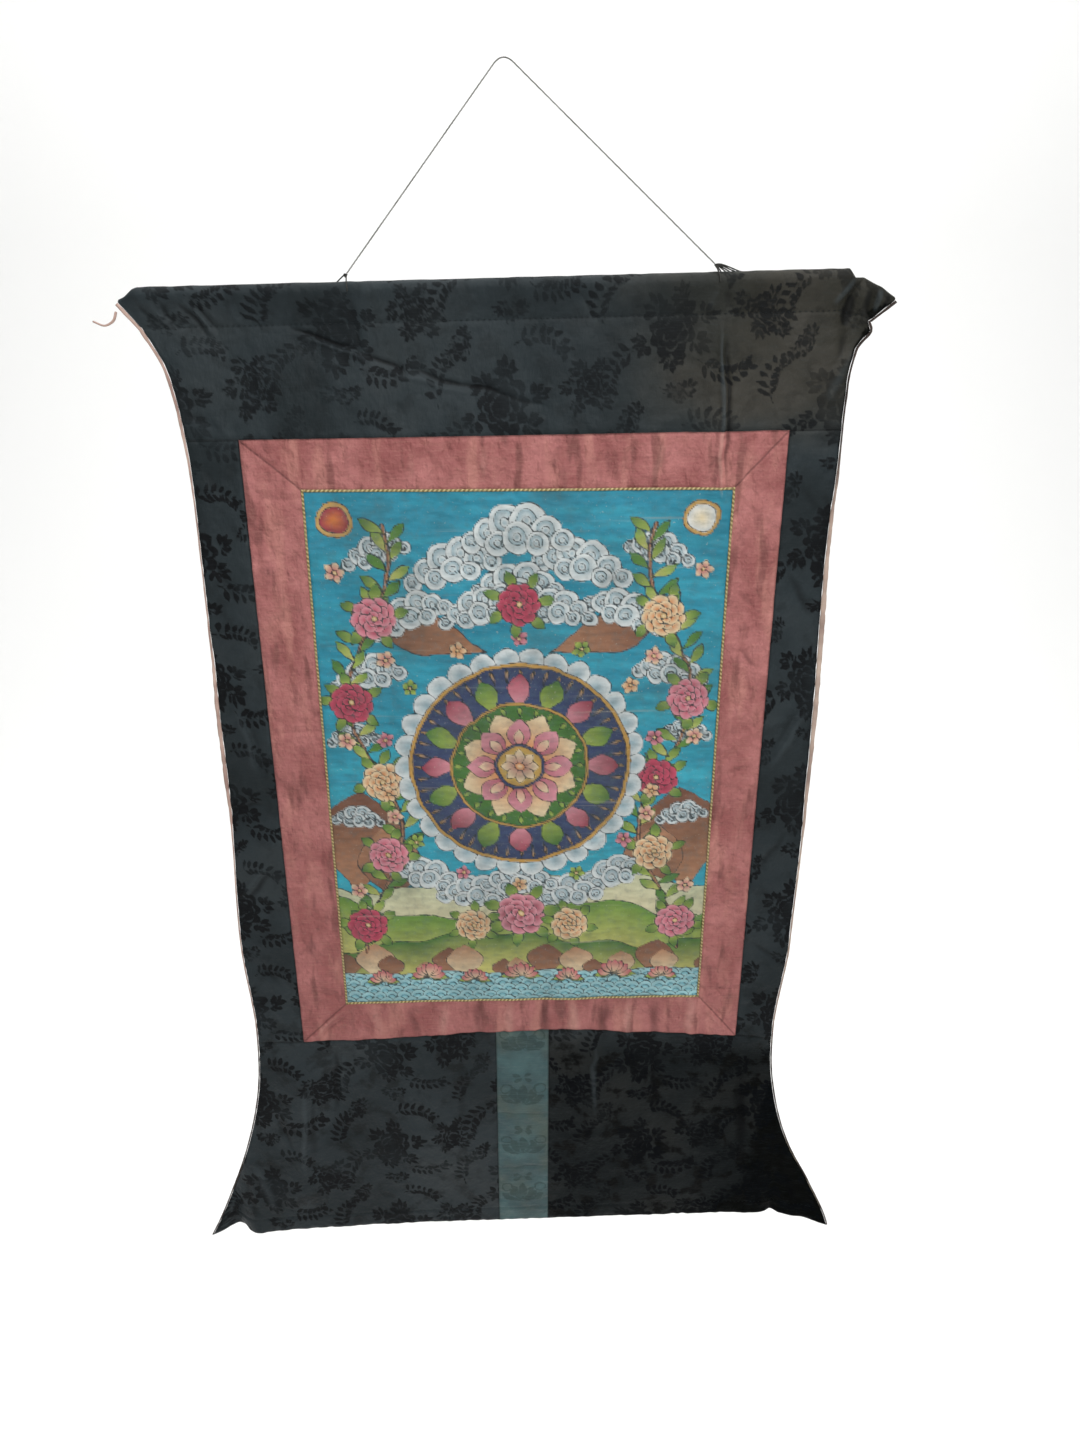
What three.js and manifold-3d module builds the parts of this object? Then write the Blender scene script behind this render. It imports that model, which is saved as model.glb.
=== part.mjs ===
// A painted cloth in a silk mount, hung on a rod by a string.
// Millimetres. +Z is up, the front faces -Y, and the string hangs from the origin.
import * as THREE from "three";
import Module from "manifold-3d";

// Cloth: one layer in front, the lining behind it
const CLOTH_THICKNESS = 1;
const PIECE_GAP = 0.35;
const LAYER_GAP = 0.55;

// Rod, and the sleeve of cloth turned over it
const ROD_DIAMETER = 10;
const ROD_LEFT = -314;
const ROD_RIGHT = 292;
const SLEEVE_ROOM = 0.8;
const EMPTY_SLEEVE_RADIUS = 1.2;
const SLEEVE_TAPER = 12;
const SLEEVE_FULL_PAST = 4;
const SLEEVE_TOP_Z = -162.3;
const SLEEVE_SLOPE = 0.0245;
const ROD_SIDES = 24;

// Upright seams
const BORDER_LEFT_X = -244;
const PICTURE_LEFT_X = -190;
const DOOR_LEFT_X = -21;
const DOOR_RIGHT_X = 40;
const PICTURE_RIGHT_X = 209;
const BORDER_RIGHT_X = 256;
const EDGE_NEAR_X = 320;

// Trims
const PIPING_WIDTH = 2.4;
const PIPING_DEPTH = 2;
const BINDING_DEPTH = 1.8;
const TAIL_WIDTH = 3.2;
const TAIL_DEPTH = 1.6;
const TAIL_STEPS = 14;

// String
const STRING_DIAMETER = 1.3;
const STRING_BEND = 12;
const STRING_CROSSING_Z = 4.85;
const STRING_STEPS = 80;
const STRING_SIDES = 8;
const KNOT_DIAMETER = 3.6;
const KNOT_LIFT = 5;
const KNOT_SIDES = 12;
const STRAND_STEPS = 30;
const STRAND_GAP = 0.5;

// Side edges of the cloth at a distance below the hanging point
const SIDE_EDGES = [
  { down: 182, left: -335, right: 334 },
  { down: 185, left: -332, right: 324 },
  { down: 188, left: -329, right: 318 },
  { down: 198, left: -321, right: 318 },
  { down: 209, left: -315, right: 313 },
  { down: 220, left: -309, right: 308 },
  { down: 230, left: -304, right: 305 },
  { down: 262, left: -296, right: 303 },
  { down: 300, left: -292, right: 303 },
  { down: 410, left: -291, right: 302 },
  { down: 575, left: -294, right: 306 },
  { down: 700, left: -295, right: 307 },
  { down: 855, left: -301, right: 304 },
  { down: 967, left: -296, right: 296 },
  { down: 1050, left: -302, right: 305 },
  { down: 1140, left: -324, right: 331 },
  { down: 1200, left: -346, right: 361 },
  { down: 1256, left: -370, right: 386 },
  { down: 1280, left: -383, right: 390 },
];

// Cross seams from the top down: height at x = 0, rise for each mm to the right,
// share of the bow, and the rows of cloth from this seam to the next
const CROSS_SEAMS = [
  { seam: "sleeve", z: -196, slope: 0.024, bow: 0, rows: 4 },
  { seam: "borderTop", z: -295, slope: 0.0178, bow: 0, rows: 2 },
  { seam: "pictureTop", z: -344, slope: 0.006, bow: 0, rows: 11 },
  { seam: "pictureBottom", z: -923, slope: 0.026, bow: 0, rows: 2 },
  { seam: "borderBottom", z: -979, slope: 0.0204, bow: 1, rows: 6 },
  { seam: "hemSeam", z: -1245, slope: 0.027, bow: 0, rows: 1 },
  { seam: "hem", z: -1266, slope: 0.0275, bow: 0, rows: 0 },
];

// Upward bow of the border's lower seam
const SEAM_BOW = [
  { x: -240, rise: 0 },
  { x: -150, rise: 2.5 },
  { x: -90, rise: 4.5 },
  { x: -30, rise: 7 },
  { x: 30, rise: 9 },
  { x: 70, rise: 10 },
  { x: 100, rise: 7 },
  { x: 140, rise: 3 },
  { x: 190, rise: 3 },
  { x: 250, rise: 0 },
];

// Upright bands from the left: the columns end at these shares of the band's width
const COLUMN_BANDS = [
  { band: "leftStrip", shares: [0, 0.2, 0.38, 0.68] },
  { band: "leftBorder", shares: [0, 0.5] },
  { band: "pictureLeft", shares: [0, 0.2, 0.4, 0.6, 0.8] },
  { band: "door", shares: [0, 0.5] },
  { band: "pictureRight", shares: [0, 0.2, 0.4, 0.6, 0.8] },
  { band: "rightBorder", shares: [0, 0.5] },
  { band: "rightStrip", shares: [0, 0.25, 0.5, 0.62, 1] },
];

// Soft folds along straight lines: two ends, half width, and depth to the back
const FOLDS = [
  { x0: -184, z0: -205, x1: 21, z1: -262, width: 20, depth: 3 },
  { x0: 189, z0: -200, x1: 199, z1: -350, width: 20, depth: -3 },
  { x0: -275, z0: -182, x1: -245, z1: -225, width: 18, depth: 3 },
  { x0: -290, z0: -520, x1: -292, z1: -680, width: 24, depth: 5 },
  { x0: 304, z0: -370, x1: 303, z1: -660, width: 26, depth: 5 },
  { x0: 298, z0: -845, x1: 292, z1: -980, width: 24, depth: -5 },
  { x0: -20, z0: -440, x1: 30, z1: -800, width: 150, depth: -4 },
  { x0: -60, z0: -985, x1: 120, z1: -985, width: 70, depth: 5 },
  { x0: -208, z0: -1010, x1: -216, z1: -1110, width: 22, depth: 5 },
  { x0: -254, z0: -1040, x1: -266, z1: -1210, width: 22, depth: -5 },
  { x0: -90, z0: -1010, x1: -96, z1: -1160, width: 28, depth: -4 },
  { x0: 94, z0: -1010, x1: 95, z1: -1120, width: 24, depth: -5 },
  { x0: 166, z0: -1010, x1: 172, z1: -1130, width: 24, depth: 5 },
  { x0: 302, z0: -160, x1: 306, z1: -215, width: 12, depth: 6 },
  { x0: 336, z0: -170, x1: 332, z1: -205, width: 14, depth: -9 },
];

// Plan of the hem, which twists to the front on the left and waves at both corners;
// the wave starts part way down and is full at the hem
const HEM_WAVE_START = 985;
const HEM_WAVE_FULL = 1266;
const HEM_WAVE = [
  { x: -384, back: -15 },
  { x: -371, back: -7 },
  { x: -360, back: 2 },
  { x: -352, back: 6 },
  { x: -345, back: 1.5 },
  { x: -336, back: -5.5 },
  { x: -327, back: -10.5 },
  { x: -312, back: -9.5 },
  { x: -270, back: -6.5 },
  { x: -215, back: -3.5 },
  { x: -145, back: -0.5 },
  { x: -60, back: 1.5 },
  { x: 40, back: 3.5 },
  { x: 140, back: 4.5 },
  { x: 210, back: 6 },
  { x: 260, back: 6.5 },
  { x: 300, back: 5.5 },
  { x: 314, back: 7 },
  { x: 323, back: 10 },
  { x: 332, back: 4 },
  { x: 342, back: -0.5 },
  { x: 360, back: -3.5 },
  { x: 372, back: -10 },
  { x: 390, back: -19 },
];

// Drop of the sleeve past the rod's ends
const SLEEVE_DROOP = [
  { x: -335, drop: 5 },
  { x: -322, drop: 0 },
  { x: 295, drop: 0 },
  { x: 302, drop: 5.5 },
  { x: 309, drop: 3 },
  { x: 323, drop: 11 },
  { x: 334, drop: 19 },
];

// Width of the binding that stands out past each side edge
const BINDING_SHOWS = [
  { down: 180, left: 3, right: 2.5 },
  { down: 290, left: 3, right: 1.5 },
  { down: 360, left: 1.5, right: 3 },
  { down: 470, left: 1.5, right: 5 },
  { down: 560, left: 4, right: 5 },
  { down: 650, left: 4, right: 4 },
  { down: 720, left: 1.5, right: 2 },
  { down: 1280, left: 1.5, right: 1.5 },
];

// The loose end of the left binding, out from the top corner
const TAIL_PATH = [
  { x: -337.5, y: -3, z: -190 },
  { x: -340, y: -5, z: -197 },
  { x: -347, y: -6, z: -201 },
  { x: -358, y: -4, z: -198 },
];

// The two ties: where the knot sits, and how far each strand leans along the rod
const TIES = {
  string_tie_left: { x: -137, frontLean: 2, backLean: -15 },
  string_tie_right: { x: 181, frontLean: 3, backLean: 22 },
};

// A tie's strand round the sleeve: angle below the knot on either side, share of the lean
const STRAND_TURNS = [
  { angle: 40, lean: 0.6 },
  { angle: 70, lean: 0.9 },
  { angle: 94, lean: 1 },
];

// Colours and finish of each material
const DARK_SILK = { color: 0x2c3337, roughness: 0.7 };
const SALMON_SILK = { color: 0xb46b66, roughness: 0.65 };
const DOOR_SILK = { color: 0x587370, roughness: 0.65 };
const PAINTED_CLOTH = { color: 0x2f93a3, roughness: 0.8 };
const PIPING_CLOTH = { color: 0x9c8a5c, roughness: 0.7 };
const LINING_CLOTH = { color: 0xcfc0a8, roughness: 0.85 };
const BINDING_CLOTH = { color: 0xc79a8c, roughness: 0.75 };
const STRING_FIBRE = { color: 0xb9b7b2, roughness: 0.8 };
const ROD_WOOD = { color: 0x8a7a66, roughness: 0.6 };

const wasm = await Module();
wasm.setup();

const { clamp, lerp, degToRad } = THREE.MathUtils;
const ROD_RADIUS = ROD_DIAMETER / 2;
const SLEEVE_RADIUS = ROD_RADIUS + SLEEVE_ROOM;
const LAYER_FRONT = LAYER_GAP / 2 + CLOTH_THICKNESS;
const LAYER_BACK = LAYER_GAP / 2;
const SLEEVE_OUTSIDE = SLEEVE_RADIUS + LAYER_FRONT;

// A smooth or straight reading between the rows of a table
function reading(table, key, column, Interpolant) {
  const keys = table.map((row) => row[key]);
  const values = table.map((row) => row[column]);
  const interpolant = new Interpolant(keys, values, 1);
  return (at) => interpolant.evaluate(at)[0];
}

const leftEdge = reading(SIDE_EDGES, "down", "left", THREE.CubicInterpolant);
const rightEdge = reading(SIDE_EDGES, "down", "right", THREE.CubicInterpolant);
const hemWave = reading(HEM_WAVE, "x", "back", THREE.CubicInterpolant);
const sleeveDroop = reading(SLEEVE_DROOP, "x", "drop", THREE.LinearInterpolant);
const seamBow = reading(SEAM_BOW, "x", "rise", THREE.LinearInterpolant);
const bindingLeft = reading(BINDING_SHOWS, "down", "left", THREE.LinearInterpolant);
const bindingRight = reading(BINDING_SHOWS, "down", "right", THREE.LinearInterpolant);

// Depth of one fold at a point of the cloth
function foldDepth(fold, x, z) {
  const runX = fold.x1 - fold.x0;
  const runZ = fold.z1 - fold.z0;
  const along = ((x - fold.x0) * runX + (z - fold.z0) * runZ) / (runX ** 2 + runZ ** 2);
  const share = clamp(along, 0, 1);
  const distance = Math.hypot(x - fold.x0 - share * runX, z - fold.z0 - share * runZ);
  return fold.depth * Math.exp(-((distance / fold.width) ** 2));
}

// Depth of the hung cloth at a point: its folds, and the hem's wave dying out upwards
function clothDepth(x, z) {
  const folds = FOLDS.reduce((sum, fold) => sum + foldDepth(fold, x, z), 0);
  const low = clamp((-z - HEM_WAVE_START) / (HEM_WAVE_FULL - HEM_WAVE_START), 0, 1);
  return folds + hemWave(x) * low ** 2;
}

// The rows of the cloth: around the sleeve from its seam at the back, then down the front
const SLEEVE_ANGLES = [0, 45, 90, 135, 180];
const rows = [{ part: "flap" }];
for (const angle of SLEEVE_ANGLES) {
  rows.push({ part: "sleeve", angle: degToRad(angle) });
}
const ROW = {};
CROSS_SEAMS.forEach((from, index) => {
  ROW[from.seam] = rows.length;
  const to = CROSS_SEAMS[index + 1] ?? from;
  for (let step = 0; step < Math.max(from.rows, 1); step++) {
    const share = step / Math.max(from.rows, 1);
    rows.push({
      part: "front",
      z: lerp(from.z, to.z, share),
      slope: lerp(from.slope, to.slope, share),
      bow: lerp(from.bow, to.bow, share),
    });
  }
});

// The columns of the cloth, each in its band
const columns = [];
const COLUMN = {};
COLUMN_BANDS.forEach(({ band, shares }, index) => {
  COLUMN[band] = columns.length;
  for (const share of shares) {
    columns.push({ band: index, share });
  }
});
const LAST_COLUMN = columns.length - 1;

// The x of a column on a row line; the side edges are read at the row's height near them
function columnX(column, z, slope) {
  const lines = [
    leftEdge(slope * EDGE_NEAR_X - z),
    BORDER_LEFT_X,
    PICTURE_LEFT_X,
    DOOR_LEFT_X,
    DOOR_RIGHT_X,
    PICTURE_RIGHT_X,
    BORDER_RIGHT_X,
    rightEdge(-slope * EDGE_NEAR_X - z),
  ];
  return lerp(lines[column.band], lines[column.band + 1], column.share);
}

// The sleeve is full and straight over the rod, and lies empty and folded past the rod's ends
function pastRod(x) {
  const past = Math.max(ROD_LEFT - x, x - ROD_RIGHT);
  return clamp((past - SLEEVE_FULL_PAST) / SLEEVE_TAPER, 0, 1);
}
const sleeveRadius = (x) => lerp(SLEEVE_RADIUS, EMPTY_SLEEVE_RADIUS, pastRod(x));

function axisZ(x) {
  return SLEEVE_TOP_Z - SLEEVE_OUTSIDE + SLEEVE_SLOPE * x;
}

// A point of the cloth between its two layers, and the way its outside faces there
function latticeNode(column, row, rowIndex) {
  if (row.part === "sleeve") {
    const x = columnX(column, axisZ(0), SLEEVE_SLOPE);
    const facing = new THREE.Vector3(0, Math.cos(row.angle), Math.sin(row.angle));
    const centreZ = axisZ(x) - sleeveDroop(x);
    const centre = new THREE.Vector3(x, clothDepth(x, centreZ) * pastRod(x), centreZ);
    return { base: centre.addScaledVector(facing, sleeveRadius(x)), facing };
  }
  const { z, slope, bow } = row.part === "flap" ? CROSS_SEAMS[0] : row;
  const x = columnX(column, z, slope);
  const droopShare = clamp((rowIndex - ROW.borderTop) / (ROW.sleeve - ROW.borderTop), 0, 1);
  const drooped = sleeveDroop(x) * (row.part === "flap" ? 1 : droopShare);
  const hungZ = z + slope * x + bow * seamBow(x) - drooped;
  const side = row.part === "flap" ? 1 : -1;
  return {
    base: new THREE.Vector3(x, clothDepth(x, hungZ), hungZ),
    facing: new THREE.Vector3(0, side, 0),
  };
}

const lattice = rows.map((row, rowIndex) =>
  columns.map((column) => latticeNode(column, row, rowIndex)),
);

// Cells at two of the border's corners are split the other way, along the mitre
function splitRises(column, row) {
  const inLeft = column >= COLUMN.leftBorder && column < COLUMN.pictureLeft;
  const inRight = column >= COLUMN.rightBorder && column < COLUMN.rightStrip;
  const inTop = row >= ROW.borderTop && row < ROW.pictureTop;
  const inBottom = row >= ROW.pictureBottom && row < ROW.borderBottom;
  return (inRight && inTop) || (inLeft && inBottom);
}

// Every triangle of the cloth, with its centre in columns and rows
function clothTriangles() {
  const triangles = [];
  for (let row = 0; row < rows.length - 1; row++) {
    for (let column = 0; column < LAST_COLUMN; column++) {
      const topLeft = { column, row };
      const topRight = { column: column + 1, row };
      const lowLeft = { column, row: row + 1 };
      const lowRight = { column: column + 1, row: row + 1 };
      const halves = splitRises(column, row)
        ? [[topLeft, lowLeft, topRight], [lowLeft, lowRight, topRight]]
        : [[topLeft, lowLeft, lowRight], [topLeft, lowRight, topRight]];
      for (const corners of halves) {
        const across = corners.reduce((sum, corner) => sum + corner.column, 0) / 3;
        const down = corners.reduce((sum, corner) => sum + corner.row, 0) / 3;
        triangles.push({ corners, across, down });
      }
    }
  }
  return triangles;
}
const allTriangles = clothTriangles();

const onPictureEdge = ({ column, row }) =>
  (column === COLUMN.pictureLeft || column === COLUMN.rightBorder
    || row === ROW.pictureTop || row === ROW.pictureBottom)
  && column >= COLUMN.pictureLeft && column <= COLUMN.rightBorder
  && row >= ROW.pictureTop && row <= ROW.pictureBottom;

// How far a piece stops short of a seam: room for the piping at the picture, else half a gap
function seamInset(first, second) {
  const atPiping = onPictureEdge(first) && onPictureEdge(second);
  return atPiping ? PIPING_WIDTH / 2 + PIECE_GAP : PIECE_GAP / 2;
}

// The two edges that meet at a rim point push it inwards by their own distances
function cornerInset([first, second]) {
  const cosine = clamp(first.inward.dot(second.inward), -1, 1);
  const spread = 1 - cosine ** 2;
  if (spread < 0.02) {
    return first.inward.clone().multiplyScalar(Math.max(first.inset, second.inset));
  }
  const byFirst = (first.inset - second.inset * cosine) / spread;
  const bySecond = (second.inset - first.inset * cosine) / spread;
  return first.inward.clone().multiplyScalar(byFirst).addScaledVector(second.inward, bySecond);
}

const keyOf = ({ column, row }) => row * columns.length + column;
const nodeOf = ({ column, row }) => lattice[row][column];

// Directed rim edges of a set of triangles, each with the way into the piece
function rimEdges(triangles) {
  const edges = new Map();
  for (const { corners } of triangles) {
    corners.forEach((start, index) => {
      const end = corners[(index + 1) % 3];
      const inner = corners[(index + 2) % 3];
      const reverse = `${keyOf(end)},${keyOf(start)}`;
      if (!edges.delete(reverse)) {
        edges.set(`${keyOf(start)},${keyOf(end)}`, { start, end, inner });
      }
    });
  }
  return [...edges.values()].map(({ start, end, inner }) => {
    const run = nodeOf(end).base.clone().sub(nodeOf(start).base).normalize();
    const inward = nodeOf(inner).base.clone().sub(nodeOf(start).base);
    inward.addScaledVector(run, -inward.dot(run)).normalize();
    return { start, end, inward, inset: seamInset(start, end) };
  });
}

// A closed sheet from cloth triangles, between two distances along the cloth's outside
function clothSheet(triangles, frontAt, backAt) {
  const rim = rimEdges(triangles);
  const pushes = new Map();
  for (const edge of rim) {
    for (const end of [edge.start, edge.end]) {
      pushes.set(keyOf(end), [...(pushes.get(keyOf(end)) ?? []), edge]);
    }
  }
  const positions = [];
  const indexOf = new Map();
  const vertex = (corner) => {
    const key = keyOf(corner);
    if (!indexOf.has(key)) {
      indexOf.set(key, positions.length / 3);
      const { base, facing } = nodeOf(corner);
      const place = base.clone();
      if (pushes.has(key)) place.add(cornerInset(pushes.get(key)));
      positions.push(...place.clone().addScaledVector(facing, frontAt(corner)).toArray());
      positions.push(...place.clone().addScaledVector(facing, backAt(corner)).toArray());
    }
    return indexOf.get(key);
  };
  const index = [];
  for (const { corners } of triangles) {
    const [a, b, c] = corners.map(vertex);
    index.push(a, b, c, a + 1, c + 1, b + 1);
  }
  for (const { start, end } of rim) {
    const a = vertex(start);
    const b = vertex(end);
    index.push(b, a, a + 1, b, a + 1, b + 1);
  }
  return meshGeometry(positions, index);
}

function meshGeometry(positions, index) {
  const geometry = new THREE.BufferGeometry();
  geometry.setAttribute("position", new THREE.Float32BufferAttribute(positions, 3));
  geometry.setIndex(index);
  return geometry;
}

// A piece of the front layer, where a test on columns and rows holds; the hem is doubled
function frontPiece(test) {
  const triangles = allTriangles.filter(({ across, down }) => test(across, down));
  const backAt = ({ row }) => (row === ROW.hem ? -LAYER_FRONT : LAYER_BACK);
  return clothSheet(triangles, () => LAYER_FRONT, backAt);
}

function liningPiece() {
  const inLining = ({ down }) => down > ROW.sleeve && down < ROW.hemSeam;
  const triangles = allTriangles.filter(inLining);
  return clothSheet(triangles, () => -LAYER_BACK, () => -LAYER_FRONT);
}

// The side of the border that a point is on: the outer edge it is nearest to
function borderSide(across, down) {
  const distances = {
    left: across - COLUMN.leftBorder,
    right: COLUMN.rightStrip - across,
    top: down - ROW.borderTop,
    bottom: ROW.borderBottom - down,
  };
  return Object.keys(distances).reduce((a, b) => (distances[a] <= distances[b] ? a : b));
}

const inBorderFrame = (across, down) =>
  across > COLUMN.leftBorder && across < COLUMN.rightStrip
  && down > ROW.borderTop && down < ROW.borderBottom;
const inPicture = (across, down) =>
  across > COLUMN.pictureLeft && across < COLUMN.rightBorder
  && down > ROW.pictureTop && down < ROW.pictureBottom;
const borderPiece = (side) =>
  frontPiece((across, down) =>
    inBorderFrame(across, down) && !inPicture(across, down) && borderSide(across, down) === side);

// A strip of four-sided section through stations, each with its four corners in order
function strip(stations) {
  const positions = stations.flat().flatMap((corner) => corner.toArray());
  const index = [];
  for (let station = 0; station < stations.length - 1; station++) {
    for (let side = 0; side < 4; side++) {
      const a = station * 4 + side;
      const b = station * 4 + ((side + 1) % 4);
      index.push(a, b, b + 4, a, b + 4, a + 4);
    }
  }
  const last = (stations.length - 1) * 4;
  index.push(0, 2, 1, 0, 3, 2, last, last + 1, last + 2, last, last + 2, last + 3);
  return facingOut(meshGeometry(positions, index));
}

// Turns a closed surface so that its faces point outwards
function facingOut(geometry) {
  const position = geometry.getAttribute("position");
  const corner = (at) => new THREE.Vector3().fromBufferAttribute(position, geometry.index.getX(at));
  let volume = 0;
  for (let at = 0; at < geometry.index.count; at += 3) {
    volume += corner(at).dot(corner(at + 1).cross(corner(at + 2)));
  }
  if (volume < 0) geometry.setIndex([...geometry.index.array].reverse());
  return geometry;
}

// The four corners of a strip's section: across the cloth, and from front to back
function section(base, across, near, far, frontY, backY) {
  const corner = (reach, y) =>
    base.clone().addScaledVector(across, reach).add(new THREE.Vector3(0, y, 0));
  return [corner(near, frontY), corner(far, frontY), corner(far, backY), corner(near, backY)];
}

// The way across a line of points in the plane of the cloth
function acrossAt(points, index) {
  const before = points[Math.max(index - 1, 0)];
  const after = points[Math.min(index + 1, points.length - 1)];
  const run = after.clone().sub(before).setY(0).normalize();
  return new THREE.Vector3(run.z, 0, -run.x);
}

// Piping along one side of the picture; the two uprights run on over the corners
function pipingPiece(corners, endReach) {
  const points = corners.map((corner) => nodeOf(corner).base.clone());
  const ends = [[0, 1], [points.length - 1, points.length - 2]];
  for (const [end, next] of ends) {
    const outward = points[end].clone().sub(points[next]).normalize();
    points[end].addScaledVector(outward, endReach);
  }
  const half = PIPING_WIDTH / 2;
  return strip(points.map((point, index) =>
    section(point, acrossAt(points, index), -half, half,
      -LAYER_BACK - PIPING_DEPTH, -LAYER_BACK)));
}

const picturePath = (fixed, from, to, make) => {
  const path = [];
  for (let at = from; at <= to; at++) {
    path.push(make(at, fixed));
  }
  return path;
};
const acrossPath = (row) =>
  picturePath(row, COLUMN.pictureLeft, COLUMN.rightBorder, (column) => ({ column, row }));
const downPath = (column) =>
  picturePath(column, ROW.pictureTop, ROW.pictureBottom, (row) => ({ column, row }));
const UPRIGHT_REACH = PIPING_WIDTH / 2;
const CROSS_REACH = -PIPING_WIDTH / 2 - PIECE_GAP;

// Binding down a side edge, from the front of the sleeve to the hem
function bindingPiece(column, width, outward) {
  const points = [];
  for (let row = ROW.sleeve - 1; row < rows.length; row++) {
    points.push(lattice[row][column].base.clone());
  }
  const half = BINDING_DEPTH / 2;
  return strip(points.map((point, index) => {
    const across = acrossAt(points, index).multiplyScalar(outward);
    return section(point, across, PIECE_GAP, PIECE_GAP + width(-point.z), -half, half);
  }));
}

// A round or flat cord along a path
function cord(path, width, depth, steps) {
  const shape = new THREE.Shape();
  shape.absellipse(0, 0, depth / 2, width / 2, 0, Math.PI * 2);
  return new THREE.ExtrudeGeometry(shape, {
    steps,
    curveSegments: STRING_SIDES / 2,
    bevelEnabled: false,
    extrudePath: path,
  });
}

const knotCentre = (tie) =>
  new THREE.Vector3(tie.x, 0, SLEEVE_TOP_Z + SLEEVE_SLOPE * tie.x + KNOT_LIFT);

// The string, straight from each knot to the bend that hangs over the origin
function stringPath() {
  const left = knotCentre(TIES.string_tie_left);
  const right = knotCentre(TIES.string_tie_right);
  const clear = KNOT_DIAMETER / 2 + PIECE_GAP;
  const peak = new THREE.Vector3(0, 0, STRING_CROSSING_Z);
  const toward = (from, to, reach) =>
    from.clone().add(to.clone().sub(from).setLength(reach));
  const bendStart = toward(peak, left, STRING_BEND);
  const bendEnd = toward(peak, right, STRING_BEND);
  const path = new THREE.CurvePath();
  path.add(new THREE.LineCurve3(toward(left, peak, clear), bendStart));
  path.add(new THREE.QuadraticBezierCurve3(bendStart, peak, bendEnd));
  path.add(new THREE.LineCurve3(bendEnd, toward(right, peak, clear)));
  return path;
}

// One strand over the sleeve, from the cloth's front up to the knot and down the back
function strandPath(tie) {
  const knot = knotCentre(tie);
  const radius = SLEEVE_OUTSIDE + STRAND_GAP + STRING_DIAMETER / 2;
  const onSleeve = (angle, lean) => {
    const x = tie.x + lean;
    return new THREE.Vector3(
      x,
      radius * Math.cos(degToRad(angle)),
      axisZ(x) + radius * Math.sin(degToRad(angle)),
    );
  };
  const front = STRAND_TURNS.map(({ angle, lean }) => onSleeve(90 + angle, lean * tie.frontLean));
  const back = STRAND_TURNS.map(({ angle, lean }) => onSleeve(90 - angle, lean * tie.backLean));
  return new THREE.CatmullRomCurve3([...front.reverse(), knot, ...back], false, "centripetal");
}

function solidOf(geometry) {
  const plain = geometry.index ? geometry.toNonIndexed() : geometry;
  const positions = plain.getAttribute("position").array;
  const mesh = new wasm.Mesh({
    numProp: 3,
    vertProperties: new Float32Array(positions),
    triVerts: Uint32Array.from({ length: positions.length / 3 }, (_, index) => index),
  });
  mesh.merge();
  return new wasm.Manifold(mesh);
}

function joined(first, second) {
  const { vertProperties, triVerts } = solidOf(first).add(solidOf(second)).getMesh();
  return meshGeometry([...vertProperties], [...triVerts]);
}

// A tie: its strand, and the knot at the top
function tiePiece(tie) {
  const strand = cord(strandPath(tie), STRING_DIAMETER, STRING_DIAMETER, STRAND_STEPS);
  const knot = new THREE.SphereGeometry(KNOT_DIAMETER / 2, KNOT_SIDES, KNOT_SIDES / 2);
  knot.translate(...knotCentre(tie).toArray());
  return joined(strand, knot);
}

function rodPiece() {
  const left = new THREE.Vector3(ROD_LEFT, 0, axisZ(ROD_LEFT));
  const right = new THREE.Vector3(ROD_RIGHT, 0, axisZ(ROD_RIGHT));
  const axis = right.clone().sub(left);
  const rod = new THREE.CylinderGeometry(ROD_RADIUS, ROD_RADIUS, axis.length(), ROD_SIDES);
  const turn = new THREE.Quaternion().setFromUnitVectors(
    new THREE.Vector3(0, 1, 0), axis.clone().normalize());
  rod.applyQuaternion(turn);
  const middle = left.add(right).multiplyScalar(0.5);
  return rod.translate(...middle.toArray());
}

function tailPiece() {
  const points = TAIL_PATH.map(({ x, y, z }) => new THREE.Vector3(x, y, z));
  return cord(new THREE.CatmullRomCurve3(points), TAIL_WIDTH, TAIL_DEPTH, TAIL_STEPS);
}

const scroll = new THREE.Group();
function addPiece(name, geometry, finish) {
  const mesh = new THREE.Mesh(geometry, new THREE.MeshStandardMaterial({ metalness: 0, ...finish }));
  mesh.name = name;
  scroll.add(mesh);
}

// Mount
const besideBorder = (down) => down > ROW.borderTop && down < ROW.borderBottom;
addPiece("top_panel", frontPiece((across, down) => down < ROW.borderTop), DARK_SILK);
addPiece("side_panel_left", frontPiece((across, down) =>
  besideBorder(down) && across < COLUMN.leftBorder), DARK_SILK);
addPiece("side_panel_right", frontPiece((across, down) =>
  besideBorder(down) && across > COLUMN.rightStrip), DARK_SILK);
addPiece("bottom_panel_left", frontPiece((across, down) =>
  down > ROW.borderBottom && across < COLUMN.door), DARK_SILK);
addPiece("bottom_panel_right", frontPiece((across, down) =>
  down > ROW.borderBottom && across > COLUMN.pictureRight), DARK_SILK);
addPiece("door_panel", frontPiece((across, down) =>
  down > ROW.borderBottom && across > COLUMN.door && across < COLUMN.pictureRight), DOOR_SILK);

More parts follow.
